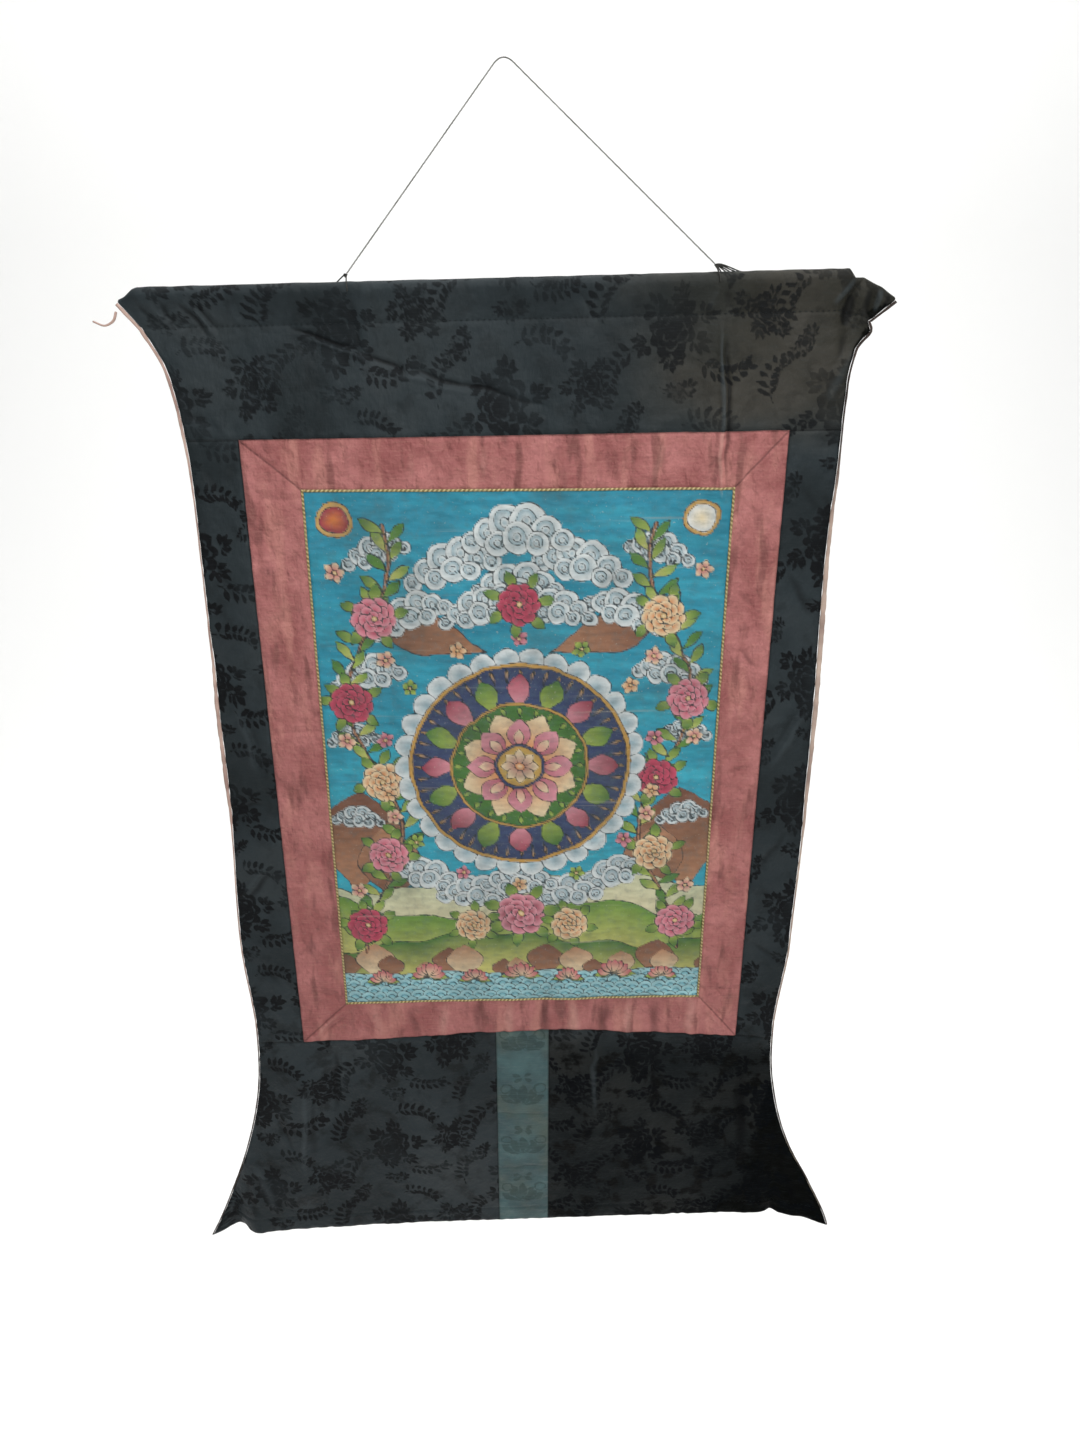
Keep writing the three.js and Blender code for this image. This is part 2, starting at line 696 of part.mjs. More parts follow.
// Inner border, picture and its piping
for (const side of ["top", "bottom", "left", "right"]) {
  addPiece(`border_${side}`, borderPiece(side), SALMON_SILK);
}
addPiece("picture_panel", frontPiece(inPicture), PAINTED_CLOTH);
addPiece("piping_top", pipingPiece(acrossPath(ROW.pictureTop), CROSS_REACH), PIPING_CLOTH);
addPiece("piping_bottom", pipingPiece(acrossPath(ROW.pictureBottom), CROSS_REACH), PIPING_CLOTH);
addPiece("piping_left", pipingPiece(downPath(COLUMN.pictureLeft), UPRIGHT_REACH), PIPING_CLOTH);
addPiece("piping_right", pipingPiece(downPath(COLUMN.rightBorder), UPRIGHT_REACH), PIPING_CLOTH);

// Lining and bindings
addPiece("lining", liningPiece(), LINING_CLOTH);
addPiece("edge_binding_left", bindingPiece(0, bindingLeft, 1), BINDING_CLOTH);
addPiece("edge_binding_right", bindingPiece(LAST_COLUMN, bindingRight, -1), BINDING_CLOTH);
addPiece("binding_tail", tailPiece(), BINDING_CLOTH);

// Rod and string
addPiece("top_rod", rodPiece(), ROD_WOOD);
for (const [name, tie] of Object.entries(TIES)) {
  addPiece(name, tiePiece(tie), STRING_FIBRE);
}
addPiece("hanging_string",
  cord(stringPath(), STRING_DIAMETER, STRING_DIAMETER, STRING_STEPS), STRING_FIBRE);

export default scroll;
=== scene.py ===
"""Looks of a hanging scroll: silk mount, painted picture, lining, rod and string."""
import math

import bpy
import numpy as np
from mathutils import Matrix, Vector


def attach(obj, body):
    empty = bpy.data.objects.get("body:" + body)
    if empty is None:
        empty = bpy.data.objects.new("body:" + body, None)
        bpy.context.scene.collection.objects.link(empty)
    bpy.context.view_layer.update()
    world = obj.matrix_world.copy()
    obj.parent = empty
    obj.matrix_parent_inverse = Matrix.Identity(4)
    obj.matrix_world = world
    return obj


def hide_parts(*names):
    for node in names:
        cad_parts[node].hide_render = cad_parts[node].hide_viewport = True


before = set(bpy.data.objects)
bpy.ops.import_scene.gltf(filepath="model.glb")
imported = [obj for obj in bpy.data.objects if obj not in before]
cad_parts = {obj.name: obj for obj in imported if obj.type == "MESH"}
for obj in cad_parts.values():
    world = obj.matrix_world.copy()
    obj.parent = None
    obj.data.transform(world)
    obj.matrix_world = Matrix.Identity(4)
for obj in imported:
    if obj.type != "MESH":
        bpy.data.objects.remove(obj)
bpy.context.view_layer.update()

# Sizes are in millimetres, as in the part's source, and meshes are made in metres
MM = 0.001

# Layers of cloth, from front to back
FRONT_DEPTH = 1.275
LINING_DEPTH = 1.275
CLOTH_THICKNESS = 1.0

# Rod and sleeve
ROD_LEFT = -314
ROD_RIGHT = 292
SLEEVE_TOP_Z = -162.3
SLEEVE_SLOPE = 0.0245
SLEEVE_RADIUS = 5.8
EMPTY_SLEEVE_RADIUS = 1.2
SLEEVE_FULL_PAST = 4
SLEEVE_TAPER = 12
SLEEVE_OUTSIDE = SLEEVE_RADIUS + FRONT_DEPTH

# Upright seams
BORDER_LEFT_X = -244
PICTURE_LEFT_X = -190
DOOR_LEFT_X = -21
DOOR_RIGHT_X = 40
PICTURE_RIGHT_X = 209
BORDER_RIGHT_X = 256
EDGE_NEAR_X = 320

# Trims and string
PIPING_HALF_WIDTH = 1.2
PIPING_HALF_DEPTH = 1.0
BINDING_HALF_DEPTH = 0.9
BINDING_GAP = 0.35
STRING_RADIUS = 0.65
STRING_BEND = 12
STRING_CROSSING_Z = 4.85
KNOT_LIFT = 5
KNOT_CLEAR = 2.15
STRAND_GAP = 0.5

# Distances between mesh points
SILK_PITCH = 1.6
BORDER_PITCH = 2.0
LINING_PITCH = 4.0
PICTURE_COLUMNS = 256
PICTURE_ROWS = 372

# Small unevenness of the cloth
LINING_SLACK = 1.5
CREASE_WAVER = 2.4
CREASE_WAVER_LENGTH = 15
CREASE_SHARE = 0.6
# Crease depth for full painted shade and soil in valleys, and full painted highlight and rubbing on ridges
CREASE_SHADE_DEPTH = 2.2
CRUMPLES = [
    # size, depth, seed
    (26, 0.6, 11),
    (10, 0.3, 12),
]
SLEEVE_LUMP = 0.25
SLEEVE_LUMP_LENGTH = 9
NOISE_CELLS = 97

# Side edges of the cloth at a distance below the hanging point
SIDE_EDGES = [
    # down, left, right
    (182, -335, 334),
    (185, -332, 324),
    (188, -329, 318),
    (198, -321, 318),
    (209, -315, 313),
    (220, -309, 308),
    (230, -304, 305),
    (262, -296, 303),
    (300, -292, 303),
    (410, -291, 302),
    (575, -294, 306),
    (700, -295, 307),
    (855, -301, 304),
    (967, -296, 296),
    (1050, -302, 305),
    (1140, -324, 331),
    (1200, -346, 361),
    (1256, -370, 386),
    (1280, -383, 390),
]

# Cross seams from the top down: name, height at x = 0, rise for each mm to the right, share of the bow
CROSS_SEAMS = [
    ("sleeve", -196, 0.024, 0),
    ("border top", -295, 0.0178, 0),
    ("picture top", -344, 0.006, 0),
    ("picture bottom", -923, 0.026, 0),
    ("border bottom", -979, 0.0204, 1),
    ("hem seam", -1245, 0.027, 0),
    ("hem", -1266, 0.0275, 0),
]
SEAM = {name: row for row, (name, *_) in enumerate(CROSS_SEAMS)}

# Bow of the border's lower seam
SEAM_BOW = [
    # x, rise
    (-240, 0),
    (-150, 2.5),
    (-90, 4.5),
    (-30, 7),
    (30, 9),
    (70, 10),
    (100, 7),
    (140, 3),
    (190, 3),
    (250, 0),
]

# Black painted shade in the corner at the lower right
SHADED_CORNER_TABLE = [
    # down, width
    (1040, 1),
    (1130, 38),
    (1200, 80),
    (1260, 160),
]
SHADED_CORNER_FADE = (0.5, 1.1)
SHADED_CORNER_DARK = 0.8

# Where else the silk is darker or browner: stretches of x and of distance down, and shares
RIGHT_STRIP_X = (200, 280)
RIGHT_STRIP_DOWN = (500, 850)
RIGHT_STRIP_DARK = 0.12
LOW_RIGHT_X = (-20, 60)
LOW_DOWN = (950, 1010)
LOW_RIGHT_DARK = 0.55
LOW_RIGHT_BROWN = 0.3
TOP_BROWN_X = (20, 240)
TOP_BROWN_DOWN = (240, 330)

# Main folds along straight lines: two ends, half width, depth to the back
FOLDS = [
    # x0, z0, x1, z1, width, depth
    (-184, -205, 21, -262, 20, 3),
    (189, -200, 199, -350, 20, -3),
    (-275, -182, -245, -225, 18, 3),
    (-290, -520, -292, -680, 24, 5),
    (304, -370, 303, -660, 26, 5),
    (298, -845, 292, -980, 24, -5),
    (-20, -440, 30, -800, 150, -4),
    (-60, -985, 120, -985, 70, 5),
    (-208, -1010, -216, -1110, 22, 5),
    (-254, -1040, -266, -1210, 22, -5),
    (-90, -1010, -96, -1160, 28, -4),
    (94, -1010, 95, -1120, 24, -5),
    (166, -1010, 172, -1130, 24, 5),
    (302, -160, 306, -215, 12, 6),
    (336, -170, 332, -205, 14, -9),
]

# Narrow creases over the main folds, in the same form
CREASES = [
    # top panel: long diagonal
    (-191, -202, -125, -225, 2.4, 4.0),
    (-125, -225, -86, -239, 2.6, 3.8),
    (-184, -207, -116, -233, 2.6, -2.2),
    (-86, -239, -40, -250, 2.4, 3.2),
    (-108, -239, -30, -259, 2.6, -2.0),
    (-60, -248, -7, -257, 2.2, 3.0),
    (-30, -252, 34, -269, 2.2, 2.4),
    # left corner
    (-283, -179, -259, -212, 2.4, 3.2),
    (-278, -178, -254, -209, 2.4, -2.6),
    (-273, -180, -249, -206, 2.4, 2.6),
    (-264, -182, -243, -201, 2.6, -1.6),
    (-304, -179, -284, -200, 2.8, 2.6),
    (-310, -182, -288, -205, 3.0, -1.8),
    (-238, -176, -230, -204, 3.0, -1.4),
    (-232, -180, -226, -200, 2.6, 1.4),
    (-262, -214, -226, -208, 3.4, -1.4),
    (-318, -184, -303, -206, 3.6, 2.2),
    (-219, -206, -222, -292, 2.0, -1.0),
    (-246, -272, -222, -273, 2.6, 1.8),
    (-296, -270, -262, -290, 3.4, 1.6),
    (-268, -280, -248, -300, 3.4, -1.4),
    # under the ties, upright ridge, right corner
    (-137, -172, -132, -207, 4, 2.0),
    (-143, -174, -152, -200, 4, -1.2),
    (-130, -200, -129, -222, 2.4, 2.4),
    (57, -166, 86, -202, 2.4, 1.8),
    (191, -168, 195, -190, 4, 2.2),
    (184, -168, 178, -192, 4, -1.2),
    (189, -196, 198, -356, 2.4, -3.6),
    (194, -196, 203, -356, 2.6, 3.6),
    (60, -205, 66, -240, 6, 1.6),
    (303, -162, 284, -186, 3, -3.6),
    (300, -176, 297, -204, 4.5, 6.0),
    (297, -204, 292, -236, 4.5, 2.4),
    (316, -166, 311, -194, 3.4, 3.4),
    (323, -170, 318, -190, 3.2, -3.6),
    (330, -174, 326, -190, 3, 3.0),
    (306, -222, 286, -270, 5, -2.0),
    # side strips
    (-292, -797, -256, -750, 4, 2.8),
    (-294, -786, -262, -744, 4, -1.8),
    (-290, -678, -258, -673, 3.4, 2.6),
    (-276, -560, -262, -640, 5, -2.2),
    (-268, -552, -254, -632, 5, 1.8),
    (-282, -405, -258, -462, 5, 2.0),
    (-286, -870, -258, -908, 5, 2.2),
    (-280, -320, -262, -352, 5, 1.8),
    (264, -420, 300, -472, 5, 2.4),
    (262, -336, 296, -368, 5, 1.8),
    (302, -560, 266, -634, 5, -2.4),
    (294, -556, 262, -622, 5, 1.8),
    (292, -700, 262, -762, 5, 2.4),
    (262, -840, 294, -868, 4, 2.2),
    (290, -900, 264, -940, 5, 2.0),
    # inner border: rolled creases at the left, diagonals at the right, ripples at the foot
    (-243, -353, -190, -351, 2.4, 1.8),
    (-243, -470, -192, -474, 2.8, 1.3),
    (-238, -520, -205, -560, 4, 1.2),
    (-243, -591, -190, -590, 2.6, 1.6),
    (-240, -742, -192, -738, 2.8, 1.3),
    (-236, -830, -214, -884, 3.4, 1.8),
    (-214, -884, -194, -900, 3.4, 1.6),
    (-243, -916, -190, -914, 2.6, 1.5),
    (-239, -984, -188, -934, 2.2, -1.8),
    (-232, -984, -182, -939, 2.2, 1.8),
    (212, -908, 254, -906, 2.4, 2.0),
    (218, -924, 252, -960, 2.2, 1.6),
    (212, -933, 246, -968, 2.2, -1.4),
    (222, -441, 236, -456, 3.4, 2.0),
    (226, -497, 249, -524, 4, 2.4),
    (214, -640, 252, -628, 3.4, 1.6),
    (216, -770, 252, -786, 3.4, 1.8),
    (-150, -300, -146, -342, 4, 1.6),
    (-86, -300, -92, -342, 5, -1.4),
    (-20, -297, -24, -340, 4, -1.6),
    (44, -296, 40, -340, 5, 1.4),
    (92, -296, 96, -342, 4, 1.8),
    (140, -294, 136, -340, 5, -1.4),
    (-160, -928, -154, -982, 7, -1.8),
    (-120, -926, -114, -982, 7, 2.2),
    (-78, -926, -82, -986, 7, -2.2),
    (-40, -918, -42, -988, 7, 2.4),
    (-5, -918, -3, -990, 7, -2.4),
    (35, -915, 36, -988, 7, 2.6),
    (68, -917, 70, -990, 7, -2.6),
    (103, -915, 105, -990, 7, 2.8),
    (131, -917, 133, -990, 6, -2.4),
    (160, -915, 163, -990, 7, 2.6),
    (200, -910, 204, -985, 7, -2.4),
    # lower panels and door
    (-246, -1040, -258, -1190, 4, -3.0),
    (-238, -1040, -248, -1180, 5, 2.2),
    (-208, -988, -216, -1096, 5, 3.2),
    (-198, -988, -206, -1080, 5, -1.8),
    (93, -981, 95, -1096, 4, -2.4),
    (164, -990, 168, -1096, 5, 3.0),
    (262, -1000, 280, -1200, 8, 3.0),
    (-60, -1000, -66, -1120, 7, 2.2),
    (-150, -1080, -140, -1200, 8, 2.0),
    (-290, -1090, -262, -1150, 5, 2.2),
    (120, -1120, 132, -1230, 7, 2.0),
    (-322, -1160, -296, -1246, 6, -2.6),
    (-335, -1190, -318, -1252, 5, 2.0),
    (330, -1180, 352, -1240, 6, 3.0),
    (-26, -1093, 46, -1091, 2.4, 1.9),
    (-26, -1177, 46, -1175, 2.4, 1.9),
    # hem corners
    (-349, -1294, -344, -1266, 6, 5.0),
    (318, -1272, 320, -1240, 7, 3.0),
]

# Plan of the hem, full at the hem and dying out upwards
HEM_WAVE_START = 985
HEM_WAVE_FULL = 1266
HEM_WAVE = [
    # x, back
    (-384, -15),
    (-371, -7),
    (-360, 2),
    (-352, 6),
    (-345, 1.5),
    (-336, -5.5),
    (-327, -10.5),
    (-312, -9.5),
    (-270, -6.5),
    (-215, -3.5),
    (-145, -0.5),
    (-60, 1.5),
    (40, 3.5),
    (140, 4.5),
    (210, 6),
    (260, 6.5),
    (300, 5.5),
    (314, 7),
    (323, 10),
    (332, 4),
    (342, -0.5),
    (360, -3.5),
    (372, -10),
    (390, -19),
]

# Drop of the sleeve past the rod's ends
SLEEVE_DROOP = [
    # x, drop
    (-335, 5),
    (-322, 0),
    (295, 0),
    (302, 5.5),
    (309, 3),
    (323, 11),
    (334, 19),
]

# Width of the binding that stands out past each side edge
BINDING_SHOWS = [
    # down, left, right
    (180, 3, 2.5),
    (290, 3, 1.5),
    (360, 1.5, 3),
    (470, 1.5, 5),
    (560, 4, 5),
    (650, 4, 4),
    (720, 1.5, 2),
    (1280, 1.5, 1.5),
]

# The loose end of the left binding, out from the top corner
TAIL_PATH = [(-337.5, -3, -190), (-340, -5, -197), (-347, -6, -201), (-358, -4, -198)]
TAIL_HALF_WIDTH = 1.6
TAIL_HALF_DEPTH = 0.8

# The two ties: where the knot sits, and how far the strands lean along the rod in front and behind
TIES = {
    "string_tie_left": {"x": -137, "front": 2, "back": [-15]},
    "string_tie_right": {"x": 181, "front": 3, "back": [9, 16, 22, 30, 38]},
}
STRAND_TURNS = [(40, 0.6), (70, 0.9), (94, 1.0)]


# Readings
def smooth_reading(table, column):
    """A smooth curve through the rows of a table, read by its first column."""
    keys = np.array([row[0] for row in table], float)
    values = np.array([row[column] for row in table], float)
    slopes = np.gradient(values, keys)

    def read(at):
        at = np.clip(at, keys[0], keys[-1])
        index = np.clip(np.searchsorted(keys, at) - 1, 0, len(keys) - 2)
        span = keys[index + 1] - keys[index]
        t = (at - keys[index]) / span
        rise = values[index + 1] - values[index]
        start = slopes[index] * span - rise
        end = -slopes[index + 1] * span + rise
        return values[index] + t * rise + t * (1 - t) * ((1 - t) * start + t * end)

    return read


def straight_reading(table, column):
    keys = [row[0] for row in table]
    values = [row[column] for row in table]
    return lambda at: np.interp(at, keys, values)


left_edge = smooth_reading(SIDE_EDGES, 1)
right_edge = smooth_reading(SIDE_EDGES, 2)
hem_wave = smooth_reading(HEM_WAVE, 1)
sleeve_droop = straight_reading(SLEEVE_DROOP, 1)
binding_left = straight_reading(BINDING_SHOWS, 1)
binding_right = straight_reading(BINDING_SHOWS, 2)
shaded_corner_width = straight_reading(SHADED_CORNER_TABLE, 1)
seam_bow = straight_reading(SEAM_BOW, 1)
SEAM_Z, SEAM_SLOPE, BOW_SHARE = (np.array(column, float) for column in list(zip(*CROSS_SEAMS))[1:])
SEAM_ROWS = np.arange(len(CROSS_SEAMS), dtype=float)


def lerp(start, end, share):
    return start + (end - start) * share


def smoothstep(start, end, value):
    t = np.clip((value - start) / (end - start), 0, 1)
    return t * t * (3 - 2 * t)


def value_noise(u, v, seed):
    """Smooth seeded noise from -1 to 1 over cells of unit size."""
    cells = np.random.default_rng(seed).uniform(-1, 1, (NOISE_CELLS, NOISE_CELLS))
    column, row = np.floor(u).astype(int), np.floor(v).astype(int)
    across, down = smoothstep(0, 1, u - column), smoothstep(0, 1, v - row)

    def cell(right, below):
        return cells[(row + below) % NOISE_CELLS, (column + right) % NOISE_CELLS]

    top = lerp(cell(0, 0), cell(1, 0), across)
    return lerp(top, lerp(cell(0, 1), cell(1, 1), across), down)


# The hung surface
def line_distance(x, z, x0, z0, x1, z1):
    """Distance to a straight stretch."""
    run_x, run_z = x1 - x0, z1 - z0
    share = np.clip(((x - x0) * run_x + (z - z0) * run_z) / (run_x**2 + run_z**2), 0, 1)
    return np.hypot(x - x0 - share * run_x, z - z0 - share * run_z)


def fold_depth(folds, x, z):
    depth = np.zeros_like(x)
    for x0, z0, x1, z1, width, deep in folds:
        distance = line_distance(x, z, x0, z0, x1, z1)
        depth += deep * np.exp(-((distance / width) ** 2))
    return depth


def hung_depth(x, z):
    """Depth of the hung cloth: its main folds, and the hem's wave dying out upwards."""
    low = np.clip((-z - HEM_WAVE_START) / (HEM_WAVE_FULL - HEM_WAVE_START), 0, 1)
    return fold_depth(FOLDS, x, z) + hem_wave(x) * low**2


def crease_depth(x, z):
    """Narrow creases, wavering a little and dying out at both ends."""
    x = x + CREASE_WAVER * value_noise(x / CREASE_WAVER_LENGTH, z / CREASE_WAVER_LENGTH, 21)
    z = z + CREASE_WAVER * value_noise(x / CREASE_WAVER_LENGTH, z / CREASE_WAVER_LENGTH, 22)
    depth = np.zeros_like(x)
    for x0, z0, x1, z1, width, deep in CREASES:
        run_x, run_z = x1 - x0, z1 - z0
        length = math.hypot(run_x, run_z)
        along = ((x - x0) * run_x + (z - z0) * run_z) / length**2
        across = ((x - x0) * run_z - (z - z0) * run_x) / length
        fade = np.clip(4 * along * (1 - along), 0, 1) ** 0.7
        depth += CREASE_SHARE * deep * fade * np.exp(-((across / width) ** 2))
    return depth


def fine_depth(x, z):
    """Narrow creases and small crumples."""
    crumple = sum(depth * value_noise(x / size, z / size, seed) for size, depth, seed in CRUMPLES)
    return crease_depth(x, z) + crumple


def cloth_depth(x, z):
    return hung_depth(x, z) + fine_depth(x, z)


def cloth_tone(x, z):
    """How dark and how brown the cloth is, and its creases: painted shade and soil in their valleys,
    painted highlight and rubbing on their ridges; the dark share holds painted shade in the lower right
    corner.
    """
    down = -z
    right_strip = smoothstep(*RIGHT_STRIP_X, x) * smoothstep(*RIGHT_STRIP_DOWN, down)
    low_right = smoothstep(*LOW_RIGHT_X, x) * smoothstep(*LOW_DOWN, down)
    # Painted shade: near black in the corner by the right edge at the foot
    corner = 1 - smoothstep(*SHADED_CORNER_FADE, (right_edge(down) - x) / shaded_corner_width(down))
    dark = RIGHT_STRIP_DARK * right_strip + LOW_RIGHT_DARK * low_right + SHADED_CORNER_DARK * corner
    top_brown = smoothstep(*TOP_BROWN_X, x) * (1 - smoothstep(*TOP_BROWN_DOWN, down))
    brown = top_brown + LOW_RIGHT_BROWN * low_right
    crease_relief = crease_depth(x, z) / CREASE_SHADE_DEPTH
    return np.clip(np.stack((dark, brown, crease_relief), -1), (0, 0, -1), 1)


def row_z(row, x):
    """Height at x of a row, counted in cross seams down from the sleeve seam."""
    z = np.interp(row, SEAM_ROWS, SEAM_Z)
    slope = np.interp(row, SEAM_ROWS, SEAM_SLOPE)
    bow = np.interp(row, SEAM_ROWS, BOW_SHARE)
    return z + slope * x + bow * seam_bow(x) - sleeve_droop(x) * np.clip(1 - row, 0, 1)


def row_at(z):
    """The row whose height at x = 0 is z."""
    return np.interp(-z, -SEAM_Z, SEAM_ROWS)


def edge_x(row, side):
    """The x of the cloth's left (-1) or right (1) edge on a row."""
    z = np.interp(row, SEAM_ROWS, SEAM_Z)
    slope = np.interp(row, SEAM_ROWS, SEAM_SLOPE)
    edge = left_edge if side < 0 else right_edge
    return edge(-z - side * slope * EDGE_NEAR_X)


def past_rod(x):
    """From 0 over the rod to 1 where the sleeve lies empty."""
    past = np.maximum(ROD_LEFT - x, x - ROD_RIGHT)
    return np.clip((past - SLEEVE_FULL_PAST) / SLEEVE_TAPER, 0, 1)


def axis_z(x):
    return SLEEVE_TOP_Z - SLEEVE_OUTSIDE + SLEEVE_SLOPE * x


def sleeve_ring(x, angle):
    """Outside of the sleeve, at an angle from the back over the top to the front."""
    empty = past_rod(x)
    centre_z = axis_z(x) - sleeve_droop(x)
    centre_y = cloth_depth(x, centre_z) * empty
    radius = lerp(SLEEVE_RADIUS, EMPTY_SLEEVE_RADIUS, empty) + FRONT_DEPTH
    radius = radius + SLEEVE_LUMP * value_noise(x / SLEEVE_LUMP_LENGTH, np.full_like(x, angle * 2), 13)
    return np.stack((x, centre_y + radius * math.cos(angle), centre_z + radius * math.sin(angle)), -1)


# Meshes
def grid_faces(rows, columns):
    index = np.arange(rows * columns).reshape(rows, columns)
    corners = (index[:-1, :-1], index[1:, :-1], index[1:, 1:], index[:-1, 1:])
    return np.stack(corners, -1).reshape(-1, 4)


def grid_normals(points):
    normals = np.cross(np.gradient(points, axis=0), np.gradient(points, axis=1))
    return normals / np.maximum(np.linalg.norm(normals, axis=-1, keepdims=True), 1e-12)


def rim_indices(rows, columns):
    """Indices round the edge of a grid, in order."""
    index = np.arange(rows * columns).reshape(rows, columns)
    return np.concatenate((index[0, :-1], index[:-1, -1], index[-1, :0:-1], index[:0:-1, 0]))


def make_mesh(name, points, faces, attributes):
    """A mesh object in metres from points in millimetres, with its point attributes."""
    mesh = bpy.data.meshes.new(name)
    mesh.from_pydata((points * MM).tolist(), [], faces)
    for key, values in attributes.items():
        values = np.asarray(values, np.float32)
        if values.ndim == 1:
            mesh.attributes.new(key, "FLOAT", "POINT").data.foreach_set("value", values)
        else:
            layer = mesh.attributes.new(key, "FLOAT_VECTOR", "POINT")
            layer.data.foreach_set("vector", values.ravel())
    mesh.shade_smooth()
    piece = bpy.data.objects.new(name, mesh)
    bpy.context.collection.objects.link(piece)
    return piece


def sheet_mesh(name, points, cut, attributes):
    """A cloth sheet from a grid of points, with a rim turned back by its thickness."""
    rows, columns, _ = points.shape
    rim = rim_indices(rows, columns)
    flat_points = points.reshape(-1, 3)
    flat_cut = cut.reshape(-1, 3)
    back = flat_points[rim] - grid_normals(points).reshape(-1, 3)[rim] * CLOTH_THICKNESS
    rim_new = np.arange(len(rim)) + len(flat_points)
    rim_faces = np.stack((rim, rim_new, np.roll(rim_new, -1), np.roll(rim, -1)), -1)
    faces = np.concatenate((grid_faces(rows, columns), rim_faces))
    values = {"cut": np.concatenate((flat_cut, flat_cut[rim])) * MM}
    for key, field in attributes.items():
        channels = field.reshape(len(flat_points), -1)
        joined = np.concatenate((channels, channels[rim]))
        values[key] = joined[:, 0] if joined.shape[1] == 1 else joined
    return make_mesh(name, np.concatenate((flat_points, back)), faces.tolist(), values)


def path_runs(path):
    runs = np.gradient(path, axis=0)
    return runs / np.linalg.norm(runs, axis=-1, keepdims=True)


def path_lengths(path):
    steps = np.linalg.norm(np.diff(path, axis=0), axis=-1)
    return np.concatenate(([0], np.cumsum(steps)))


def tube_mesh(name, path, sideways, forwards, reach):
    """A closed tube along a path; reach gives each ring's points along two directions."""
    stations, sides, _ = reach.shape
    rings = path[:, None] + sideways[:, None] * reach[..., :1] + forwards[:, None] * reach[..., 1:]
    index = np.arange(stations * sides).reshape(stations, sides)
    after = np.roll(index, -1, axis=1)
    quads = np.stack((index[:-1], after[:-1], after[1:], index[1:]), -1).reshape(-1, 4)
    faces = quads.tolist() + [index[0, ::-1].tolist(), index[-1].tolist()]
    along = np.repeat(path_lengths(path)[:, None], sides, 1)
    around = np.broadcast_to(np.linspace(0, 1, sides, endpoint=False)[None], along.shape)
    cut = np.stack((along, around, np.zeros_like(along)), -1).reshape(-1, 3)
    return make_mesh(name, rings.reshape(-1, 3), faces, {"cut": cut * MM})


ACROSS_START = (0.31, 0.9, 0.3)


def steady_frame(path):
    """Two directions across a path that turn as little as they can along it."""
    runs = path_runs(path)
    sideways = [np.cross(runs[0], ACROSS_START)]
    for run in runs[1:]:
        sideways.append(sideways[-1] - run * np.dot(sideways[-1], run))
    sideways = np.array([side / np.linalg.norm(side) for side in sideways])
    return sideways, np.cross(runs, sideways)


def ellipse_reach(half_width, half_depth, sides):
    """Rings of an oval section, one for each half width."""
    angle = np.linspace(0, 2 * np.pi, sides, endpoint=False)
    across = np.asarray(half_width, float)[:, None] * np.cos(angle)
    return np.stack((across, np.broadcast_to(half_depth * np.sin(angle), across.shape)), -1)


def twisted_reach(lengths, radius, pitch):
    """Rings of a string of three plies twisted together."""
    angle = np.linspace(0, 2 * np.pi, 12, endpoint=False)
    plies = 0.84 + 0.16 * np.cos(3 * (angle[None] - 2 * np.pi * lengths[:, None] / pitch))
    return radius * plies[..., None] * np.stack((np.cos(angle), np.sin(angle)), -1)[None]


def smooth_path(points, steps):
    """A smooth curve through points, with even steps."""
    points = np.array(points, float)
    table = np.column_stack((path_lengths(points), points))
    at = np.linspace(0, table[-1, 0], steps)
    return np.stack([smooth_reading(table, column)(at) for column in (1, 2, 3)], -1)


def stitch_mesh(name, path, pitch, length, radius):
    """Short stitches lying along a path on the front of the cloth."""
    lengths = path_lengths(path)
    starts = np.arange(pitch, lengths[-1] - pitch, pitch)
    ring = [(0, -1), (1, 0), (0, 1), (-1, 0)]
    points, faces = [], []
    for start in starts:
        ends = [np.array([np.interp(start + reach, lengths, path[:, k]) for k in range(3)])
                for reach in (0, length)]
        run = (ends[1] - ends[0]) / length
        up = np.cross(run, (0, 1, 0))
        base = len(points)
        points.append(ends[0])
        for share in (0.3, 0.7):
            middle = lerp(ends[0], ends[1], share)
            points.extend(middle + radius * (np.array((0, y, 0)) + w * up) for w, y in ring)
        points.append(ends[1])
        for k in range(4):
            a, b = base + 1 + k, base + 1 + (k + 1) % 4
            faces += [(base, b, a), (a, b, b + 4, a + 4), (base + 9, a + 4, b + 4)]
    points = np.array(points)
    return make_mesh(name, points, faces, {"cut": points * MM})


# Shapes drawn in the flat: each gives a distance, below 0 inside, and a share up to 1 at its heart
def srgb(code):
    """Linear colour of a six-digit sRGB code."""
    parts = [((code >> shift) & 255) / 255 for shift in (16, 8, 0)]
    return tuple(p / 12.92 if p <= 0.04045 else ((p + 0.055) / 1.055) ** 2.4 for p in parts)


def disc(centre, radius):
    def shape(s, t):
        distance = np.hypot(s - centre[0], t - centre[1]) - radius
        return distance, np.clip(-distance / radius, 0, 1)

    return shape


def ring_line(centre, radius, half_width):
    def shape(s, t):
        distance = np.abs(np.hypot(s - centre[0], t - centre[1]) - radius) - half_width
        return distance, np.clip(-distance / half_width, 0, 1)

    return shape


def petal(foot, turn, length, width, belly=0.6):
    """A petal or leaf from its foot, widest at a share of its length."""
    bend = math.log(0.5) / math.log(belly)

    def shape(s, t):
        along = (s - foot[0]) * math.cos(turn) + (t - foot[1]) * math.sin(turn)
        across = (t - foot[1]) * math.cos(turn) - (s - foot[0]) * math.sin(turn)
        share = np.clip(along / length, 0, 1)
        half = width / 2 * np.sin(np.pi * share**bend)
        beyond = np.maximum(np.maximum(-along, along - length), 0)
        inside = 0.85 * (np.abs(across) - half)
        return np.where(beyond > 0, np.hypot(beyond, across), inside), 1 - share

    return shape


